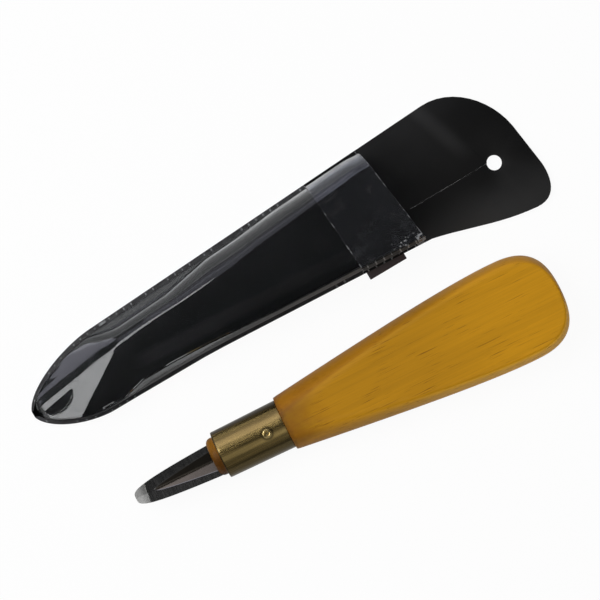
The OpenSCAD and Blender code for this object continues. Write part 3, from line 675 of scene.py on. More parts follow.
def clear_film(name, tint, matrix, haze, clearness):
    """Clear vinyl with a gloss that smudges soften by haze, and a share of light that it lets through."""
    material, tree, shader, where = placed_material(name, matrix)
    smudge = remap(tree, noise_value(tree, where, 0.12, 4.0), 0.45, 0.75)
    waves = noise_value(tree, where, 0.16, 1.0)
    join(tree, maths(tree, "MULTIPLY_ADD", smudge, haze, 0.04), shader, "Roughness")
    bump(tree, shader, waves, 0.15 * MM, 0.3)
    shader.inputs["Base Color"].default_value = (*tint, 1)
    shader.inputs["IOR"].default_value = 1.42
    shader.inputs["Transmission Weight"].default_value = clearness
    return material


def whitened_film(finish, matrix):
    """Vinyl that has gone cloudy where it was pressed or cut."""
    material, tree, shader, where = placed_material("whitened_film", matrix)
    cloud = noise_value(tree, where, 1.1, 3.0)
    join(tree, mix(tree, cloud, finish.vinyl, finish.whitened), shader, "Base Color")
    join(tree, over_noise(tree, cloud, 0.2, 0.4), shader, "Roughness")
    return material


def welded_film(name, tint, matrix, gloss):
    """Film that is fused to the back sheet, with a pressed grain and darker dashes along the weld."""
    material, tree, shader, where = placed_material(name, matrix)
    grain = noise_value(tree, where, 2.2, 3.0)
    dashes = remap(tree, streaks(tree, where, 3.0, 0.5), 0.4, 0.6, 0.1, 0.9)
    tone = maths(tree, "ADD", grain, dashes)
    join(tree, toned(tree, tuple(tint), tone), shader, "Base Color")
    join(tree, over_noise(tree, grain, 0.35, 0.5), shader, "Roughness")
    bump(tree, shader, grain, 0.05 * MM, 0.5)
    shader.inputs["Specular IOR Level"].default_value = gloss
    return material


def strap_vinyl(finish, matrix):
    """Black-olive strap with a short crosswise grain."""
    material, tree, shader, where = placed_material("strap_vinyl", matrix)
    weave = streaks(tree, where, 1.6, 0.5)
    tone = maths(tree, "MULTIPLY_ADD", weave, 0.8, 0.6)
    join(tree, toned(tree, tuple(finish.strap), tone), shader, "Base Color")
    join(tree, over_noise(tree, weave, 0.5, 0.65), shader, "Roughness")
    bump(tree, shader, weave, 0.05 * MM, 0.5)
    return material


def soft_min(a, b, soft):
    """The smaller of two values, with a soft change from one to the other."""
    h = min(1.0, max(0.0, 0.5 + (b - a) / (2 * soft)))
    return b + (a - b) * h - soft * h * (1 - h)


def way(x, start, end):
    """Share of the way from start to end that x has gone, from 0 to 1."""
    return min(1.0, max(0.0, (x - start) / (end - start)))


def ease(x, start, end):
    """A soft step from 0, at start, to 1, at end."""
    t = way(x, start, end)
    return t * t * (3 - 2 * t)


def between(value, ends):
    """Whether a value lies between two ends."""
    return ends[0] < value < ends[1]


def cubic(points, t):
    """Point at t on a cubic curve with four control points."""
    weights = ((1 - t) ** 3, 3 * t * (1 - t) ** 2, 3 * t * t * (1 - t), t**3)
    return sum((w * Vector(p) for w, p in zip(weights, points)), Vector((0, 0)))


def arc(centre, radius, start, end, steps):
    """Points on an arc about centre, from start to end in degrees."""
    turns = [math.radians(start + (end - start) * i / steps) for i in range(steps + 1)]
    return [(centre[0] + radius * math.cos(a), centre[1] + radius * math.sin(a)) for a in turns]


def spin_profile(points, axis, steps):
    """A closed bmesh turned from points of place and radius about an axis, which is X or Z."""
    bm = bmesh.new()
    along = Vector((1, 0, 0)) if axis == "X" else Vector((0, 0, 1))
    out = Vector((0, 1, 0)) if axis == "X" else Vector((1, 0, 0))
    verts = [bm.verts.new(along * place + out * radius) for place, radius in points]
    edges = [bm.edges.new(pair) for pair in zip(verts, verts[1:])]
    geom = verts + edges
    bmesh.ops.spin(bm, geom=geom, cent=(0, 0, 0), axis=along, angle=2 * math.pi, steps=steps, use_merge=True)
    bmesh.ops.remove_doubles(bm, verts=bm.verts, dist=MERGE)
    bmesh.ops.recalc_face_normals(bm, faces=bm.faces)
    return bm


def grid(columns, rows):
    """A flat bmesh grid whose vertices lie at whole numbers from 0 to columns and 0 to rows."""
    bm = bmesh.new()
    bmesh.ops.create_grid(bm, x_segments=columns, y_segments=rows, size=0.5)
    bmesh.ops.translate(bm, verts=bm.verts, vec=(0.5, 0.5, 0))
    bmesh.ops.scale(bm, verts=bm.verts, vec=(columns, rows, 1))
    return bm


def put_in_scene(name, data):
    """A new object in the scene with that mesh, lamp or camera."""
    thing = bpy.data.objects.new(name, data)
    bpy.context.scene.collection.objects.link(thing)
    return thing


def new_object(bm, name, materials):
    """A new object in the scene from a bmesh, with its materials."""
    mesh = bpy.data.meshes.new(name)
    bm.to_mesh(mesh)
    bm.free()
    for material in materials:
        mesh.materials.append(material)
    return put_in_scene(name, mesh)


def finish_piece(bm, name, body, node, materials, matrix):
    """Puts a shaped piece into the part's frame and hangs it on its body in place of its CAD node."""
    bmesh.ops.transform(bm, matrix=matrix, verts=bm.verts)
    for face in bm.faces:
        face.smooth = True
    piece = new_object(bm, name, materials)
    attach(piece, body)
    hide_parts(node)
    return piece


def knife_frame(knife):
    """Matrix from the knife's own frame to the part's, through the cross pin."""
    low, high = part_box("ferrule_pin")
    turn = Matrix.Rotation(-knife.turn, 4, "Z")
    return Matrix.Translation((low + high) / 2) @ turn @ Matrix.Translation((-knife.pin_x, 0, 0))


def sheath_frame(sheath):
    """Matrix from the sheath's own frame to the part's."""
    return Matrix.Translation((-sheath.hole_x, sheath.hole_low, 0))


def blade_top(knife, x, y):
    """Height of the blade's upper side: flat rim, hollow and tip bevel."""
    reach = (x - knife.hollow_start) / (knife.blade_l - knife.hollow_start)
    depth = knife.hollow_depth * math.copysign(abs(reach) ** knife.hollow_power, reach)
    wall = math.tan(knife.groove_slope) * (math.hypot(y, knife.groove_round) - knife.groove_round)
    hollow = knife.rim_z - depth + wall
    run = (x - knife.bevel_l) * math.cos(knife.bevel_turn) + y * math.sin(knife.bevel_turn)
    bevel = knife.rim_z + run * math.tan(knife.bevel_slope)
    return soft_min(soft_min(knife.rim_z, hollow, knife.grind_soft), bevel, knife.grind_soft)


def blade_back(knife, x, y):
    """Height of the blade's round back."""
    sink = (knife.root_t - knife.tip_t) / knife.blade_l
    axis_z = knife.rim_z - knife.tip_t + knife.back_r - x * sink
    return axis_z - math.sqrt(knife.back_r**2 - y * y) * math.hypot(1, sink)


def hollow_half(knife, x):
    """Half the width of the hollow at x, where its walls meet the rim."""
    reach = max(0.0, (x - knife.hollow_start) / (knife.blade_l - knife.hollow_start))
    depth = knife.hollow_depth * reach**knife.hollow_power
    wall = depth / math.tan(knife.groove_slope) + knife.groove_round
    return math.sqrt(wall**2 - knife.groove_round**2)


def across_blade(half, groove, column, rim_columns, top_columns):
    """Place of a column across the blade's upper side, with whole columns along the hollow's two edges."""
    from_middle = abs(column - top_columns / 2)
    groove_columns = top_columns / 2 - rim_columns
    if from_middle <= groove_columns:
        aside = groove * from_middle / groove_columns
    else:
        aside = groove + (half - groove) * (from_middle - groove_columns) / rim_columns
    return math.copysign(aside, top_columns / 2 - column)


def build_blade(knife, finish):
    """Hollow-ground blade, lofted round its cross-sections from the tip to a root inside the nose."""
    rows, top_columns, rim_columns = 220, 48, 10
    groove_least, groove_most = 0.12, 0.9
    root = knife.blade_l + knife.root_l
    bm = grid(2 * top_columns, rows)
    for vert in bm.verts:
        column, row = round(vert.co.x), round(vert.co.y)
        x = root * (row / rows) ** 2
        half = knife.blade_w / 2 * min(1.0, max(x, TINY) / knife.blade_l) ** knife.blade_power
        if column <= top_columns:
            groove = min(max(hollow_half(knife, x), groove_least * half), groove_most * half)
            y = across_blade(half, groove, column, rim_columns, top_columns)
            z = blade_top(knife, x, y)
        else:
            y = half * (2 * column / top_columns - 3)
            z = blade_back(knife, x, y)
        vert.co = (x, y - knife.blade_side, z)
    bmesh.ops.remove_doubles(bm, verts=bm.verts, dist=2 * MERGE)
    bmesh.ops.holes_fill(bm, edges=bm.edges)
    bmesh.ops.recalc_face_normals(bm, faces=bm.faces)
    matrix = knife_frame(knife)
    materials = [polished_steel(finish, matrix)]
    piece = finish_piece(bm, "blade_steel", "knife", "blade", materials, matrix)
    piece.data.set_sharp_from_angle(angle=knife.grind_crease)


def grip_profile(knife):
    """Place and radius along the wood: nose, tenon, shoulder, swell and butt."""
    swell_steps, butt_steps = 80, 32
    nose_x = knife.blade_l
    ferrule_x = nose_x + knife.nose_l
    shoulder_x = ferrule_x + knife.ferrule_l
    nose_r, nose_round = knife.nose_d / 2, knife.nose_round
    round_nose = arc((nose_x + nose_round, nose_r - nose_round), nose_round, 180, 90, steps=8)
    front_r, back_r = knife.tenon_front_d / 2, knife.tenon_back_d / 2
    tenon = [(ferrule_x, nose_r), (ferrule_x, front_r), (shoulder_x, back_r)]
    shoulder_r, edge = knife.shoulder_d / 2, knife.shoulder_edge
    shoulder = arc((shoulder_x + edge, shoulder_r - edge), edge, 180, 90, steps=4)
    widest, grip_r = knife.grip_widest, knife.grip_d / 2
    swell = [
        (0, shoulder_r),
        (widest / 2, shoulder_r + widest / 2 * math.tan(knife.grip_flare)),
        (widest * knife.grip_belly, grip_r),
        (widest, grip_r),
    ]
    grip = [tuple(cubic(swell, i / swell_steps)) for i in range(1, swell_steps + 1)]
    power = 2 / knife.butt_power
    for i in range(1, butt_steps + 1):
        turn = math.pi / 2 * i / butt_steps
        reach = (knife.grip_l - widest) * math.sin(turn) ** power
        grip.append((widest + reach, grip_r * max(0.0, math.cos(turn)) ** power))
    behind = [(shoulder_x + x, r) for x, r in grip if x > edge]
    return [(nose_x, 0), *round_nose, *tenon, *shoulder, *behind]


def build_handle(knife, finish):
    """Turned handle with two flats, as one piece with its nose. The attribute turned is 2 on the nose."""
    bm = spin_profile(grip_profile(knife), "X", steps=160)
    shoulder_x = knife.blade_l + knife.nose_l + knife.ferrule_l
    layer = bm.verts.layers.float.new("turned")
    flat = knife.grip_t / 2
    for vert in bm.verts:
        raised = abs(vert.co.z)
        on_flat = ease(raised, flat - knife.turned_below, flat + knife.flat_above)
        vert[layer] = 1 - on_flat if vert.co.x > shoulder_x else 2
        if vert.co.x > shoulder_x - NEAR:
            vert.co.z = math.copysign(soft_min(raised, flat, knife.grip_soft), vert.co.z)
    matrix = knife_frame(knife)
    materials = [varnished_wood(finish, matrix)]
    finish_piece(bm, "handle_wood", "knife", "handle", materials, matrix)


def build_ferrule(knife, finish):
    """Brass tube with rounded edges."""
    steps = 24
    front_x = knife.blade_l + knife.nose_l
    back_x = front_x + knife.ferrule_l
    front_r, back_r = knife.ferrule_front_d / 2, knife.ferrule_back_d / 2
    edge = knife.ferrule_edge
    profile = [(front_x, front_r - knife.ferrule_wall)]
    profile += arc((front_x + edge, front_r - edge), edge, 180, 90, steps=4)
    for i in range(1, steps):
        share = i / steps
        x = front_x + edge + share * (knife.ferrule_l - 2 * edge)
        profile.append((x, front_r + share * (back_r - front_r)))
    profile += arc((back_x - edge, back_r - edge), edge, 90, 0, steps=4)
    profile += [(back_x, back_r - knife.ferrule_wall), profile[0]]
    bm = spin_profile(profile, "X", steps=128)
    matrix = knife_frame(knife)
    materials = [aged_brass(knife, finish, matrix)]
    finish_piece(bm, "ferrule_brass", "knife", "ferrule", materials, matrix)


def build_pin(knife, finish):
    """Hollow cross pin whose ends are rolled over the ferrule."""
    low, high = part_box("ferrule_pin")
    top = (high.z - low.z) / 2
    ring_r = (knife.pin_head_d - knife.pin_hollow_d) / 4
    ring_at = (top - ring_r, (knife.pin_head_d + knife.pin_hollow_d) / 4)
    rolled = arc(ring_at, ring_r, -90, 90, steps=12)
    bottom = top - knife.pin_depth
    half = [(bottom, 0), (bottom, knife.pin_hollow_d / 2), *rolled, (top - ring_r, knife.pin_d / 2)]
    other = [(-z, r) for z, r in reversed(half)]
    bm = spin_profile([*half, *other], "Z", steps=48)
    bmesh.ops.translate(bm, verts=bm.verts, vec=(knife.pin_x, 0, 0))
    matrix = knife_frame(knife)
    materials = [aged_brass(knife, finish, matrix)]
    finish_piece(bm, "pin_brass", "knife", "ferrule_pin", materials, matrix)


def tip_share(x, run, power):
    """Share of the full width at x, of a tip that is rounded over a run with a power."""
    return 1.0 if x >= run else (1 - (1 - x / run) ** power) ** (1 / power)


def upper_y(sheath, x):
    """The sheath's upper edge at x."""
    share = tip_share(x, sheath.tip_l, sheath.tip_power)
    return (sheath.upper_w + (x - sheath.tip_l) * math.tan(sheath.edge_taper)) * share


def lower_y(sheath, x):
    """The sheath's lower edge at x."""
    past = x - sheath.lower_bend_x
    eased = max(0.0, past + sheath.bend_half)
    bent = past if past >= sheath.bend_half else eased * eased / (4 * sheath.bend_half)
    share = tip_share(x, sheath.lower_tip_l, sheath.lower_tip_power)
    return -(sheath.lower_w + bent * math.tan(sheath.lower_taper)) * share


def seam_widths(sheath, x, width):
    """Widths of the upper and the lower seam at x, where the sheath is that wide."""
    upper = sheath.seam_w + sheath.seam_spread * ease(x, sheath.seam_spread_x, sheath.mouth_x)
    lower = sheath.lower_seam_w + sheath.lower_spread * (1 - way(x, *sheath.lower_spread_ends))
    return min(upper, SEAM_MOST * width), min(lower, SEAM_MOST * width)


def pocket_h(sheath, x, y):
    """Height of the room under the film: a first climb, the tip's facet, then the flat."""
    rise = (sheath.mouth_h - sheath.knee_h) / (sheath.mouth_x - sheath.knee_x)
    lean = sheath.flat_lean * (1 - way(x, sheath.knee_x, sheath.lean_end_x))
    flat = sheath.knee_h + rise * (x - sheath.knee_x) + lean * y
    facet = flat - sheath.facet_fall * (sheath.knee_x + y * math.tan(sheath.knee_turn) - x)
    climb = sheath.tip_climb * (x - sheath.film_x0)
    return max(0.0, soft_min(soft_min(facet, flat, sheath.knee_blend), climb, sheath.knee_blend))


def crest_share(sheath, x):
    """Place of the film's crest at x, as a share of the room from its lower to its upper side."""
    straight = sheath.crest_tip + (sheath.crest_mouth - sheath.crest_tip) * x / sheath.mouth_x
    return straight - sheath.crest_dip * ease(x, *sheath.crest_dips) * (1 - ease(x, *sheath.crest_returns))


def skirt_share(sheath, x):
    """Share of its full width that the skirt beside the upper seam has at x."""
    narrowed = 1 - sheath.skirt_loss * way(x, *sheath.skirt_narrows)
    share = ease(x, *sheath.skirt_grows) * narrowed * (1 - way(x, *sheath.skirt_ends))
    return max(sheath.skirt_least, share)


def shoulder_share(sheath, x):
    """Share of its full width that the lower shoulder has at x."""
    narrowed = 1 - sheath.shoulder_loss * way(x, *sheath.shoulder_narrows)
    return max(sheath.shoulder_least, way(x, *sheath.shoulder_grows) * narrowed)


def film_waves(sheath, x, y):
    """Height of the slack film's waves, which fade out at the tip."""
    at = Vector((x / sheath.wave_l, y / sheath.wave_l * sheath.wave_across, sheath.wave_draw))
    return sheath.wave_h * noise.noise(at) * ease(x, *sheath.waves_grow)


def tip_dent(sheath, x, y):
    """Depth of the leaf-shaped dent in the tip's facet, which rises sharply at its lower edge."""
    share = way(x, *sheath.dent_span)
    width = sheath.dent_w * share**sheath.dent_front * (1 - share) ** sheath.dent_back
    below = sheath.dent_slant * (x - sheath.dent_span[0]) - sheath.dent_low - y
    back = max(0.0, below - width) * sheath.dent_lip
    return max(0.0, sheath.dent_slope * below - back) if below > 0 else 0.0


def roll(sheath, x, out):
    """Fall of the film at a distance outside its crest, where it rolls over."""
    tight = ease(x, *sheath.roll_tightens) * (1 - ease(x, *sheath.roll_loosens))
    soft = sheath.roll_l - sheath.tight_l * tight
    eased = soft * (1 - math.exp(-out / soft))
    first_slope = sheath.roll_slope - sheath.tight_slope * tight
    return sheath.upper_slope * out - (sheath.upper_slope - first_slope) * eased


def ripple(sheath, x, out):
    """Height of the ripples at a distance outside the crest, which are there only at the tip."""
    grown = min(1.0, out / sheath.ripple_in) * (1 - way(x, *sheath.ripples_end))
    return sheath.ripple_h * math.sin(out / sheath.ripple_l) * grown


def upper_points(sheath, x, foot_y, crest_y, columns):
    """Places and heights of the skirt and the upper side at x, from the seam's foot to the crest."""
    crest_h = pocket_h(sheath, x, crest_y)
    share = skirt_share(sheath, x)
    skirt_y = foot_y - min(sheath.skirt_w, SKIRT_MOST * (foot_y - crest_y)) * share
    skirt_h = min(sheath.skirt_h * share, DROP_MOST * crest_h)
    closer = 1.4
    points = []
    for i in range(columns.skirt):
        t = i / columns.skirt
        points.append((foot_y + (skirt_y - foot_y) * t, skirt_h * min(1.0, t / sheath.skirt_rise)))
    for i in range(columns.upper + 1):
        t = 1 - (i / columns.upper) ** closer
        out = (skirt_y - crest_y) * t
        height = max(0.0, crest_h - skirt_h - roll(sheath, x, out) + ripple(sheath, x, out))
        side = height * (1 - t**sheath.upper_round) ** sheath.upper_foot
        wave = film_waves(sheath, x, crest_y + out) * (1 - t)
        points.append((crest_y + out, skirt_h + side + wave))
    return points


def lower_points(sheath, x, crest_y, side_y, room, columns):
    """Places and heights of the flat and the shoulder at x, from the crest to the lower wall's top."""
    shoulder_y = side_y + min(sheath.side_lean, SIDE_MOST * room)
    flat_y = shoulder_y + min(sheath.shoulder_w, SHOULDER_MOST * room) * shoulder_share(sheath, x)
    points = []
    for i in range(1, columns.flat + 1):
        y = crest_y + (flat_y - crest_y) * i / columns.flat
        height = pocket_h(sheath, x, y)
        dent = min(tip_dent(sheath, x, y), DROP_MOST * height)
        points.append((y, height - dent + film_waves(sheath, x, y)))
    for i in range(1, columns.shoulder + 1):
        t = i / columns.shoulder
        y = flat_y + (shoulder_y - flat_y) * t
        height = pocket_h(sheath, x, y)
        drop = min(sheath.shoulder_slope * (flat_y - shoulder_y), DROP_MOST * height)
        wave = film_waves(sheath, x, y) * (1 - t)
        points.append((y, height - drop * t**sheath.shoulder_power + wave))
    return points


def film_section(sheath, x, grow, columns):
    """Points across the film at x, from its upper edge to its lower one, at grow over the room inside."""
    skew = math.tan(sheath.mouth_slant) * (x / sheath.mouth_x) ** SLANT_POWER
    top = upper_y(sheath, x - upper_y(sheath, x) * skew)
    low = lower_y(sheath, x - lower_y(sheath, x) * skew)
    upper_seam, lower_seam = seam_widths(sheath, x, top - low)
    room = top - low - upper_seam - lower_seam
    crest_y = low + lower_seam + crest_share(sheath, x) * room
    foot_y = top - upper_seam + grow
    side_y = low + lower_seam - grow
    points = [(top + (foot_y - top) * i / columns.seam, 0) for i in range(columns.seam)]
    points += upper_points(sheath, x, foot_y, crest_y, columns)
    points += lower_points(sheath, x, crest_y, side_y, room, columns)
    points += [(side_y + (low - side_y) * i / columns.seam, 0) for i in range(columns.seam + 1)]
    base = sheath.back_t + grow
    return [(x - y * skew, y, base + z) for y, z in points]


def column_count(columns):
    """Number of face columns across the film: both seams, the lower wall and what lies between."""
    return columns.seam + sum(columns) + 1


def film_sheet(sheath, marks, places, grow, columns, mark):
    """A sheet of film with rows at those places, where mark gives each face its material."""
    sections = [film_section(sheath, x, grow, columns) for x in places]
    bm = grid(column_count(columns), len(places) - 1)
    face_columns = [int(face.calc_center_median().x) for face in bm.faces]
    crest_column = columns.seam + columns.skirt + columns.upper
    crest = [vert for vert in bm.verts if round(vert.co.x) == crest_column]
    for vert in bm.verts:
        vert.co = sections[round(vert.co.y)][round(vert.co.x)]
    for edge in {edge for vert in crest for edge in vert.link_edges if edge.other_vert(vert) in crest}:
        edge.smooth = edge.verts[0].co.x < sheath.crease_x
    for face, column in zip(bm.faces, face_columns):
        face.material_index = mark(sheath, marks, columns, column, face.calc_center_median())
    bmesh.ops.recalc_face_normals(bm, faces=bm.faces)
    return bm


def on_tick(marks, x):
    """Whether one of the weld's ticks lies at x."""
    turns = x / marks.tick_pitch
    return abs(turns - round(turns)) < marks.tick_half


def film_marks(sheath, marks, columns, column, middle):
    """Material of a face of the film: clear, welded at seams and hem, white at ticks and at a nick, and
    welded grey over the lower shoulder towards the mouth, a painted reflection band.
    """
    x = middle.x
    inset = middle.y - lower_y(sheath, x)
    nick = between(x, marks.nick_along) and between(inset, marks.nick_inset)
    bar = between(x, marks.bar_along) and between(inset, marks.bar_inset)
    if nick or bar:
        return WHITE
    on_tip = x < marks.tip_end
    here = on_tick(marks, x)
    ticked = here and noise.noise(Vector((x / marks.tick_patch, 0, 0))) > marks.tick_level
    if column < columns.seam:
        among = 1 < column < 4 if on_tip else 0 < column < columns.seam - 1
        return WHITE if ticked and among and x < marks.upper_end else WELD_AND_PAINTED_REFLECTION
    from_edge = column_count(columns) - 1 - column
    if from_edge < columns.seam:
        tip_tick = ticked and on_tip and 0 < from_edge < 3
        mouth_tick = here and x > marks.lower_start and from_edge > 0
        return WHITE if tip_tick or mouth_tick else WELD_AND_PAINTED_REFLECTION
    # The narrow hem on the lower wall is a real weld; where it widens over the whole shoulder it is a
    # painted grey reflection band.
    climbed = 2 * way(x, *marks.hem_grows)
    hem = 1 + round(climbed + (columns.shoulder - 2) * way(x, *marks.painted_band_widens))
    return WELD_AND_PAINTED_REFLECTION if from_edge < columns.seam + hem else CLEAR


def band_marks(sheath, marks, columns, column, middle):
    """Material of a face of the band: clear, welded at its sides, white at edges, tears and scuffs."""
    x, y = middle.x, middle.y
    start = sheath.mouth_x - sheath.band_l
    slant = math.tan(sheath.mouth_slant) * y
    from_start = x + slant * (start / sheath.mouth_x) ** SLANT_POWER - start
    from_end = sheath.mouth_x - x - slant
    rough = noise.noise(middle / marks.tear_grain)
    inset = y - lower_y(sheath, x)
    if inset < marks.tear_w and from_end < marks.tear_l:
        return WHITE if rough > marks.tear_level else CLEAR
    if from_end < marks.cut_w:
        return WHITE if rough > marks.mouth_level else CLEAR
    if from_start < marks.cut_w:
        return WHITE if rough > marks.inner_level else CLEAR
    if column < columns.seam:
        return WELD_AND_PAINTED_REFLECTION
    wall = column_count(columns) - columns.seam - 1
    if column >= wall - columns.shoulder:
        ticked = on_tick(marks, x) and rough > marks.band_tick_level
        return WHITE if ticked and column != wall else WELD_AND_PAINTED_REFLECTION
    scuff = noise.noise(Vector((x, y, 0)) / marks.scuff_grain)
    in_corner = inset < marks.corner_w and from_end < marks.corner_l
    return WHITE if scuff > (marks.corner_level if in_corner else marks.scuff_level) else CLEAR


def film_places(sheath, marks):
    """Places of the film's rows: close at the tip, then a few to each of the weld's ticks."""
    tip_rows, closer, last_gap = 150, 1.1, 0.2 * MM
    tick_rows = (-0.5, -0.3, -marks.tick_half, marks.tick_half, 0.3)
    start, tip_end, pitch = sheath.first_row_x, marks.tip_end, marks.tick_pitch
    places = [start + (tip_end - start) * (row / tip_rows) ** closer for row in range(tip_rows + 1)]
    for tick in range(round(tip_end / pitch) + 1, int(sheath.mouth_x / pitch) + 1):
        places += [(tick + share) * pitch for share in tick_rows]
    return [x for x in places if x < sheath.mouth_x - last_gap] + [sheath.mouth_x]


def thicken(piece, wall):
    """Gives a sheet its wall, inwards, with the next material on its rim."""
    solid = piece.modifiers.new("wall", "SOLIDIFY")
    solid.thickness = wall
    solid.offset = -1
    solid.use_even_offset = True
    solid.material_offset_rim = 1


def build_film(sheath, marks, finish):
    """Clear film, formed into the pocket and welded to the back sheet round its edge."""
    places = film_places(sheath, marks)
    bm = film_sheet(sheath, marks, places, sheath.film_t, FILM_COLUMNS, film_marks)
    matrix = sheath_frame(sheath)
    clear = clear_film("clear_film", finish.film, matrix, haze=0.05, clearness=1.0)
    # The welded film also paints the grey reflection band on the lower shoulder.
    weld = welded_film("welded_film", finish.weld, matrix, gloss=0.5)
    materials = [clear, whitened_film(finish, matrix), weld]
    piece = finish_piece(bm, "front_film_clear", "sheath", "front_film", materials, matrix)
    thicken(piece, sheath.film_t)


def build_band(sheath, marks, finish):
    """Second strip of film that doubles the mouth."""
    rows = 100
    grow = sheath.film_t + sheath.fit_gap + sheath.band_t
    places = [sheath.mouth_x - sheath.band_l * (1 - row / rows) for row in range(rows + 1)]
    bm = film_sheet(sheath, marks, places, grow, BAND_COLUMNS, band_marks)
    matrix = sheath_frame(sheath)
    clear = clear_film("band_film", finish.band, matrix, haze=0.2, clearness=0.994)
    weld = welded_film("welded_band", finish.vinyl, matrix, gloss=0.15)
    materials = [clear, whitened_film(finish, matrix), weld]
    piece = finish_piece(bm, "mouth_band_clear", "sheath", "mouth_band", materials, matrix)
    thicken(piece, sheath.band_t)


def round_edges(bm, edges, offset, segments, clamp):
    """Rounds edges of a bmesh, where clamp keeps the rounding from running into itself."""
    bmesh.ops.bevel(
        bm,
        geom=edges,
        offset=offset,
        affect="EDGES",
        segments=segments,
        profile=0.5,
        material=-1,
        clamp_overlap=clamp,
    )


def build_back(sheath, finish):
    """Back sheet with its tab, hanging hole and slit, softened along its cut edges."""
    bm = bmesh.new()
    bm.from_mesh(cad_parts["back_panel"].data)
    bmesh.ops.remove_doubles(bm, verts=bm.verts, dist=MERGE)
    bmesh.ops.dissolve_limit(bm, angle_limit=math.radians(1), verts=bm.verts, edges=bm.edges)
    for vert in bm.verts:
        aside = vert.co.y - sheath.slit_y
        if abs(aside) < sheath.slit_reach and between(-vert.co.x, sheath.slit_span):
            vert.co.y = sheath.slit_y + math.copysign(sheath.slit_open / 2, aside)
    rim = [e for e in bm.edges if abs(e.verts[0].co.z - e.verts[1].co.z) < NEAR]
    round_edges(bm, rim, sheath.back_edge, segments=2, clamp=True)
    bmesh.ops.triangulate(bm, faces=[f for f in bm.faces if len(f.verts) > 4])
    materials = [black_vinyl(finish, sheath_frame(sheath))]
    piece = finish_piece(bm, "back_vinyl", "sheath", "back_panel", materials, Matrix())
    piece.data.set_sharp_from_angle(angle=sheath.back_crease)


def build_strap(sheath, finish):
    """Strap across the back, with softened edges."""
    low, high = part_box("back_strap")
    bm = bmesh.new()
    bmesh.ops.create_cube(bm, size=1)
    bmesh.ops.scale(bm, verts=bm.verts, vec=high - low)
    bmesh.ops.translate(bm, verts=bm.verts, vec=(low + high) / 2)
    round_edges(bm, bm.edges, sheath.strap_edge, segments=3, clamp=False)
    materials = [strap_vinyl(finish, sheath_frame(sheath))]
    finish_piece(bm, "strap_vinyl", "sheath", "back_strap", materials, Matrix())


def white_where_seen(tree, shader, stage):
    """Surface that is nearly plain white to the camera, and about half as bright in reflections."""
    path = add(tree, "ShaderNodeLightPath").outputs
    mirrored = path["Is Glossy Ray"]
    seen = chain(tree, "MAXIMUM", path["Is Camera Ray"], path["Is Transmission Ray"], mirrored)
    strength = maths(tree, "MULTIPLY_ADD", mirrored, stage.floor_mirrored - 1, 1.0)
    glow = add(tree, "ShaderNodeEmission", {"Color": (1, 1, 1, 1), "Strength": strength})
    share = maths(tree, "MULTIPLY", seen, stage.floor_seen)
    sides = {0: share, 1: shader.outputs[0], 2: glow.outputs[0]}
    return add(tree, "ShaderNodeMixShader", sides).outputs[0]


def build_floor(stage):
    """Pale floor that keeps a faint shadow."""
    material, tree, shader = new_material("pale_floor")
    shader.inputs["Base Color"].default_value = (*[stage.floor_tone] * 3, 1)
    shader.inputs["Roughness"].default_value = 1.0
    shader.inputs["Specular IOR Level"].default_value = 0.0
    output = next(n for n in tree.nodes if n.type == "OUTPUT_MATERIAL")
    tree.links.new(white_where_seen(tree, shader, stage), output.inputs["Surface"])
    bm = bmesh.new()
    bmesh.ops.create_grid(bm, x_segments=1, y_segments=1, size=stage.floor_half)
    bmesh.ops.translate(bm, verts=bm.verts, vec=(0, 0, cad_box[0].z))
    floor = new_object(bm, "floor", [material])


def build_world(stage):
    """Dark room with a pale horizon, which stands behind the floor."""
    world = bpy.data.worlds.new("room")
    bpy.context.scene.world = world
    world.use_nodes = True
    tree = world.node_tree
    tree.nodes.clear()
    horizon, ceiling = (0.05, 0.12), (0.92, 0.985)
    where = add(tree, "ShaderNodeTexCoord").outputs["Generated"]
    height = axes(tree, where)["Z"]
    turn = stage.front_turn + stage.roll
    front = (math.cos(turn), math.sin(turn), 0)
    towards = add(tree, "ShaderNodeVectorMath", {0: where, 1: front}, operation="DOT_PRODUCT")
    in_front = maths(tree, "MAXIMUM", towards.outputs["Value"], 0.0)
    above = remap(tree, height, *ceiling, stage.wall_level, stage.ceiling_level)
    room = maths(tree, "MULTIPLY_ADD", in_front, stage.front_level, above)
    level = maths(tree, "MAXIMUM", room, remap(tree, height, *horizon, 1.0, 0.0))
    background = add(tree, "ShaderNodeBackground", {"Color": (1, 1, 1, 1), "Strength": level})
    add(tree, "ShaderNodeOutputWorld", {"Surface": background.outputs[0]})


def build_lamp(lamp, stage):
    """Soft lamp that faces the aim, of a level that doesn't change with its size."""
    turn = math.radians(lamp.turn) + stage.roll
    lean = math.radians(lamp.lean)
    towards = Vector((math.cos(turn) * math.sin(lean), math.sin(turn) * math.sin(lean), math.cos(lean)))
    data = bpy.data.lights.new(lamp.name, "AREA")
    data.shape = "RECTANGLE"
    data.size, data.size_y = lamp.size
    data.energy = lamp.level * math.pi * lamp.size[0] * lamp.size[1]
    data.color = getattr(stage, lamp.tint)
    made = put_in_scene(lamp.name, data)
    made.location = Vector(stage.aim) + towards * lamp.distance
    made.rotation_euler = towards.to_track_quat("Z", "Y").to_euler()
    made.visible_camera = False
    made.visible_glossy = lamp.in_gloss
    made.visible_transmission = lamp.in_gloss


def build_camera(stage):
    """Camera that looks straight down with a long lens."""
    data = bpy.data.cameras.new("camera")
    data.lens = stage.lens
    data.sensor_width = SENSOR_MM
    camera = put_in_scene("camera", data)
    camera.location = Vector(stage.aim) + Vector((0, 0, stage.field * stage.lens / SENSOR_MM))
    camera.rotation_euler = (0, 0, stage.roll)
    bpy.context.scene.camera = camera


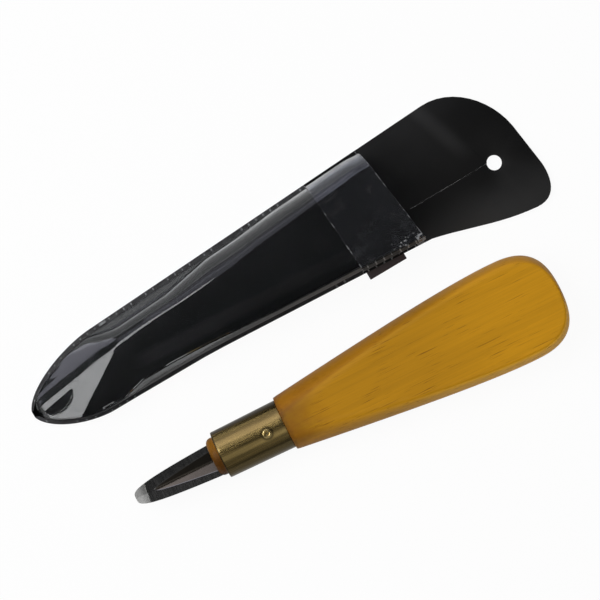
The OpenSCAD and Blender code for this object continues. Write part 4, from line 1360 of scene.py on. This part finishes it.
class CABLEKNIFE_OT_blade(bpy.types.Operator):
    """Builds the steel blade"""

    bl_idname = "cable_knife.blade"
    bl_label = "Blade"

    def execute(self, context):
        build_blade(context.scene.knife_sizes, context.scene.knife_finishes)
        return {"FINISHED"}


class CABLEKNIFE_OT_handle(bpy.types.Operator):
    """Builds the wooden handle"""

    bl_idname = "cable_knife.handle"
    bl_label = "Handle"

    def execute(self, context):
        build_handle(context.scene.knife_sizes, context.scene.knife_finishes)
        return {"FINISHED"}


class CABLEKNIFE_OT_ferrule(bpy.types.Operator):
    """Builds the brass ferrule and its cross pin"""

    bl_idname = "cable_knife.ferrule"
    bl_label = "Ferrule and pin"

    def execute(self, context):
        build_ferrule(context.scene.knife_sizes, context.scene.knife_finishes)
        build_pin(context.scene.knife_sizes, context.scene.knife_finishes)
        return {"FINISHED"}


class CABLEKNIFE_OT_film(bpy.types.Operator):
    """Builds the clear film of the pocket and the band at its mouth"""

    bl_idname = "cable_knife.film"
    bl_label = "Clear film"

    def execute(self, context):
        scene = context.scene
        build_film(scene.sheath_sizes, scene.film_marks, scene.knife_finishes)
        build_band(scene.sheath_sizes, scene.film_marks, scene.knife_finishes)
        return {"FINISHED"}


class CABLEKNIFE_OT_back(bpy.types.Operator):
    """Builds the back sheet with its tab and the strap behind it"""

    bl_idname = "cable_knife.back"
    bl_label = "Back sheet and strap"

    def execute(self, context):
        build_back(context.scene.sheath_sizes, context.scene.knife_finishes)
        build_strap(context.scene.sheath_sizes, context.scene.knife_finishes)
        return {"FINISHED"}


class CABLEKNIFE_OT_stage(bpy.types.Operator):
    """Sets up the floor, the room, the lamps and the camera"""

    bl_idname = "cable_knife.stage"
    bl_label = "Stage"

    def execute(self, context):
        stage = context.scene.knife_stage
        build_floor(stage)
        build_world(stage)
        for lamp in LAMPS:
            build_lamp(lamp, stage)
        build_camera(stage)
        context.scene.view_settings.view_transform = "Standard"
        return {"FINISHED"}


class CABLEKNIFE_PT_panel(bpy.types.Panel):
    """Lists the pieces and their sizes in the sidebar"""

    bl_idname = "CABLEKNIFE_PT_panel"
    bl_label = "Cable knife"
    bl_space_type = "VIEW_3D"
    bl_region_type = "UI"
    bl_category = "Cable knife"

    def draw(self, context):
        for operator in OPERATORS:
            self.layout.operator(operator.bl_idname)
        for owner in OWNERS:
            group = getattr(context.scene, owner)
            for key in group.__annotations__:
                self.layout.prop(group, key)


OPERATORS = (
    CABLEKNIFE_OT_blade,
    CABLEKNIFE_OT_handle,
    CABLEKNIFE_OT_ferrule,
    CABLEKNIFE_OT_film,
    CABLEKNIFE_OT_back,
    CABLEKNIFE_OT_stage,
)
OWNERS = {
    "knife_sizes": KnifeSizes,
    "sheath_sizes": SheathSizes,
    "film_marks": FilmMarks,
    "knife_finishes": Finishes,
    "knife_stage": StageSettings,
}
CLASSES = (*OWNERS.values(), *OPERATORS, CABLEKNIFE_PT_panel)


def register():
    """Registers the classes and gives the scene their settings."""
    for cls in CLASSES:
        bpy.utils.register_class(cls)
    for owner, group in OWNERS.items():
        setattr(bpy.types.Scene, owner, PointerProperty(type=group))


def unregister():
    """Takes the settings and the classes away again."""
    for owner in OWNERS:
        delattr(bpy.types.Scene, owner)
    for cls in reversed(CLASSES):
        bpy.utils.unregister_class(cls)


def main():
    """Builds every piece and the stage."""
    register()
    bpy.ops.cable_knife.blade()
    bpy.ops.cable_knife.handle()
    bpy.ops.cable_knife.ferrule()
    bpy.ops.cable_knife.film()
    bpy.ops.cable_knife.back()
    bpy.ops.cable_knife.stage()


if __name__ == "__main__":
    main()
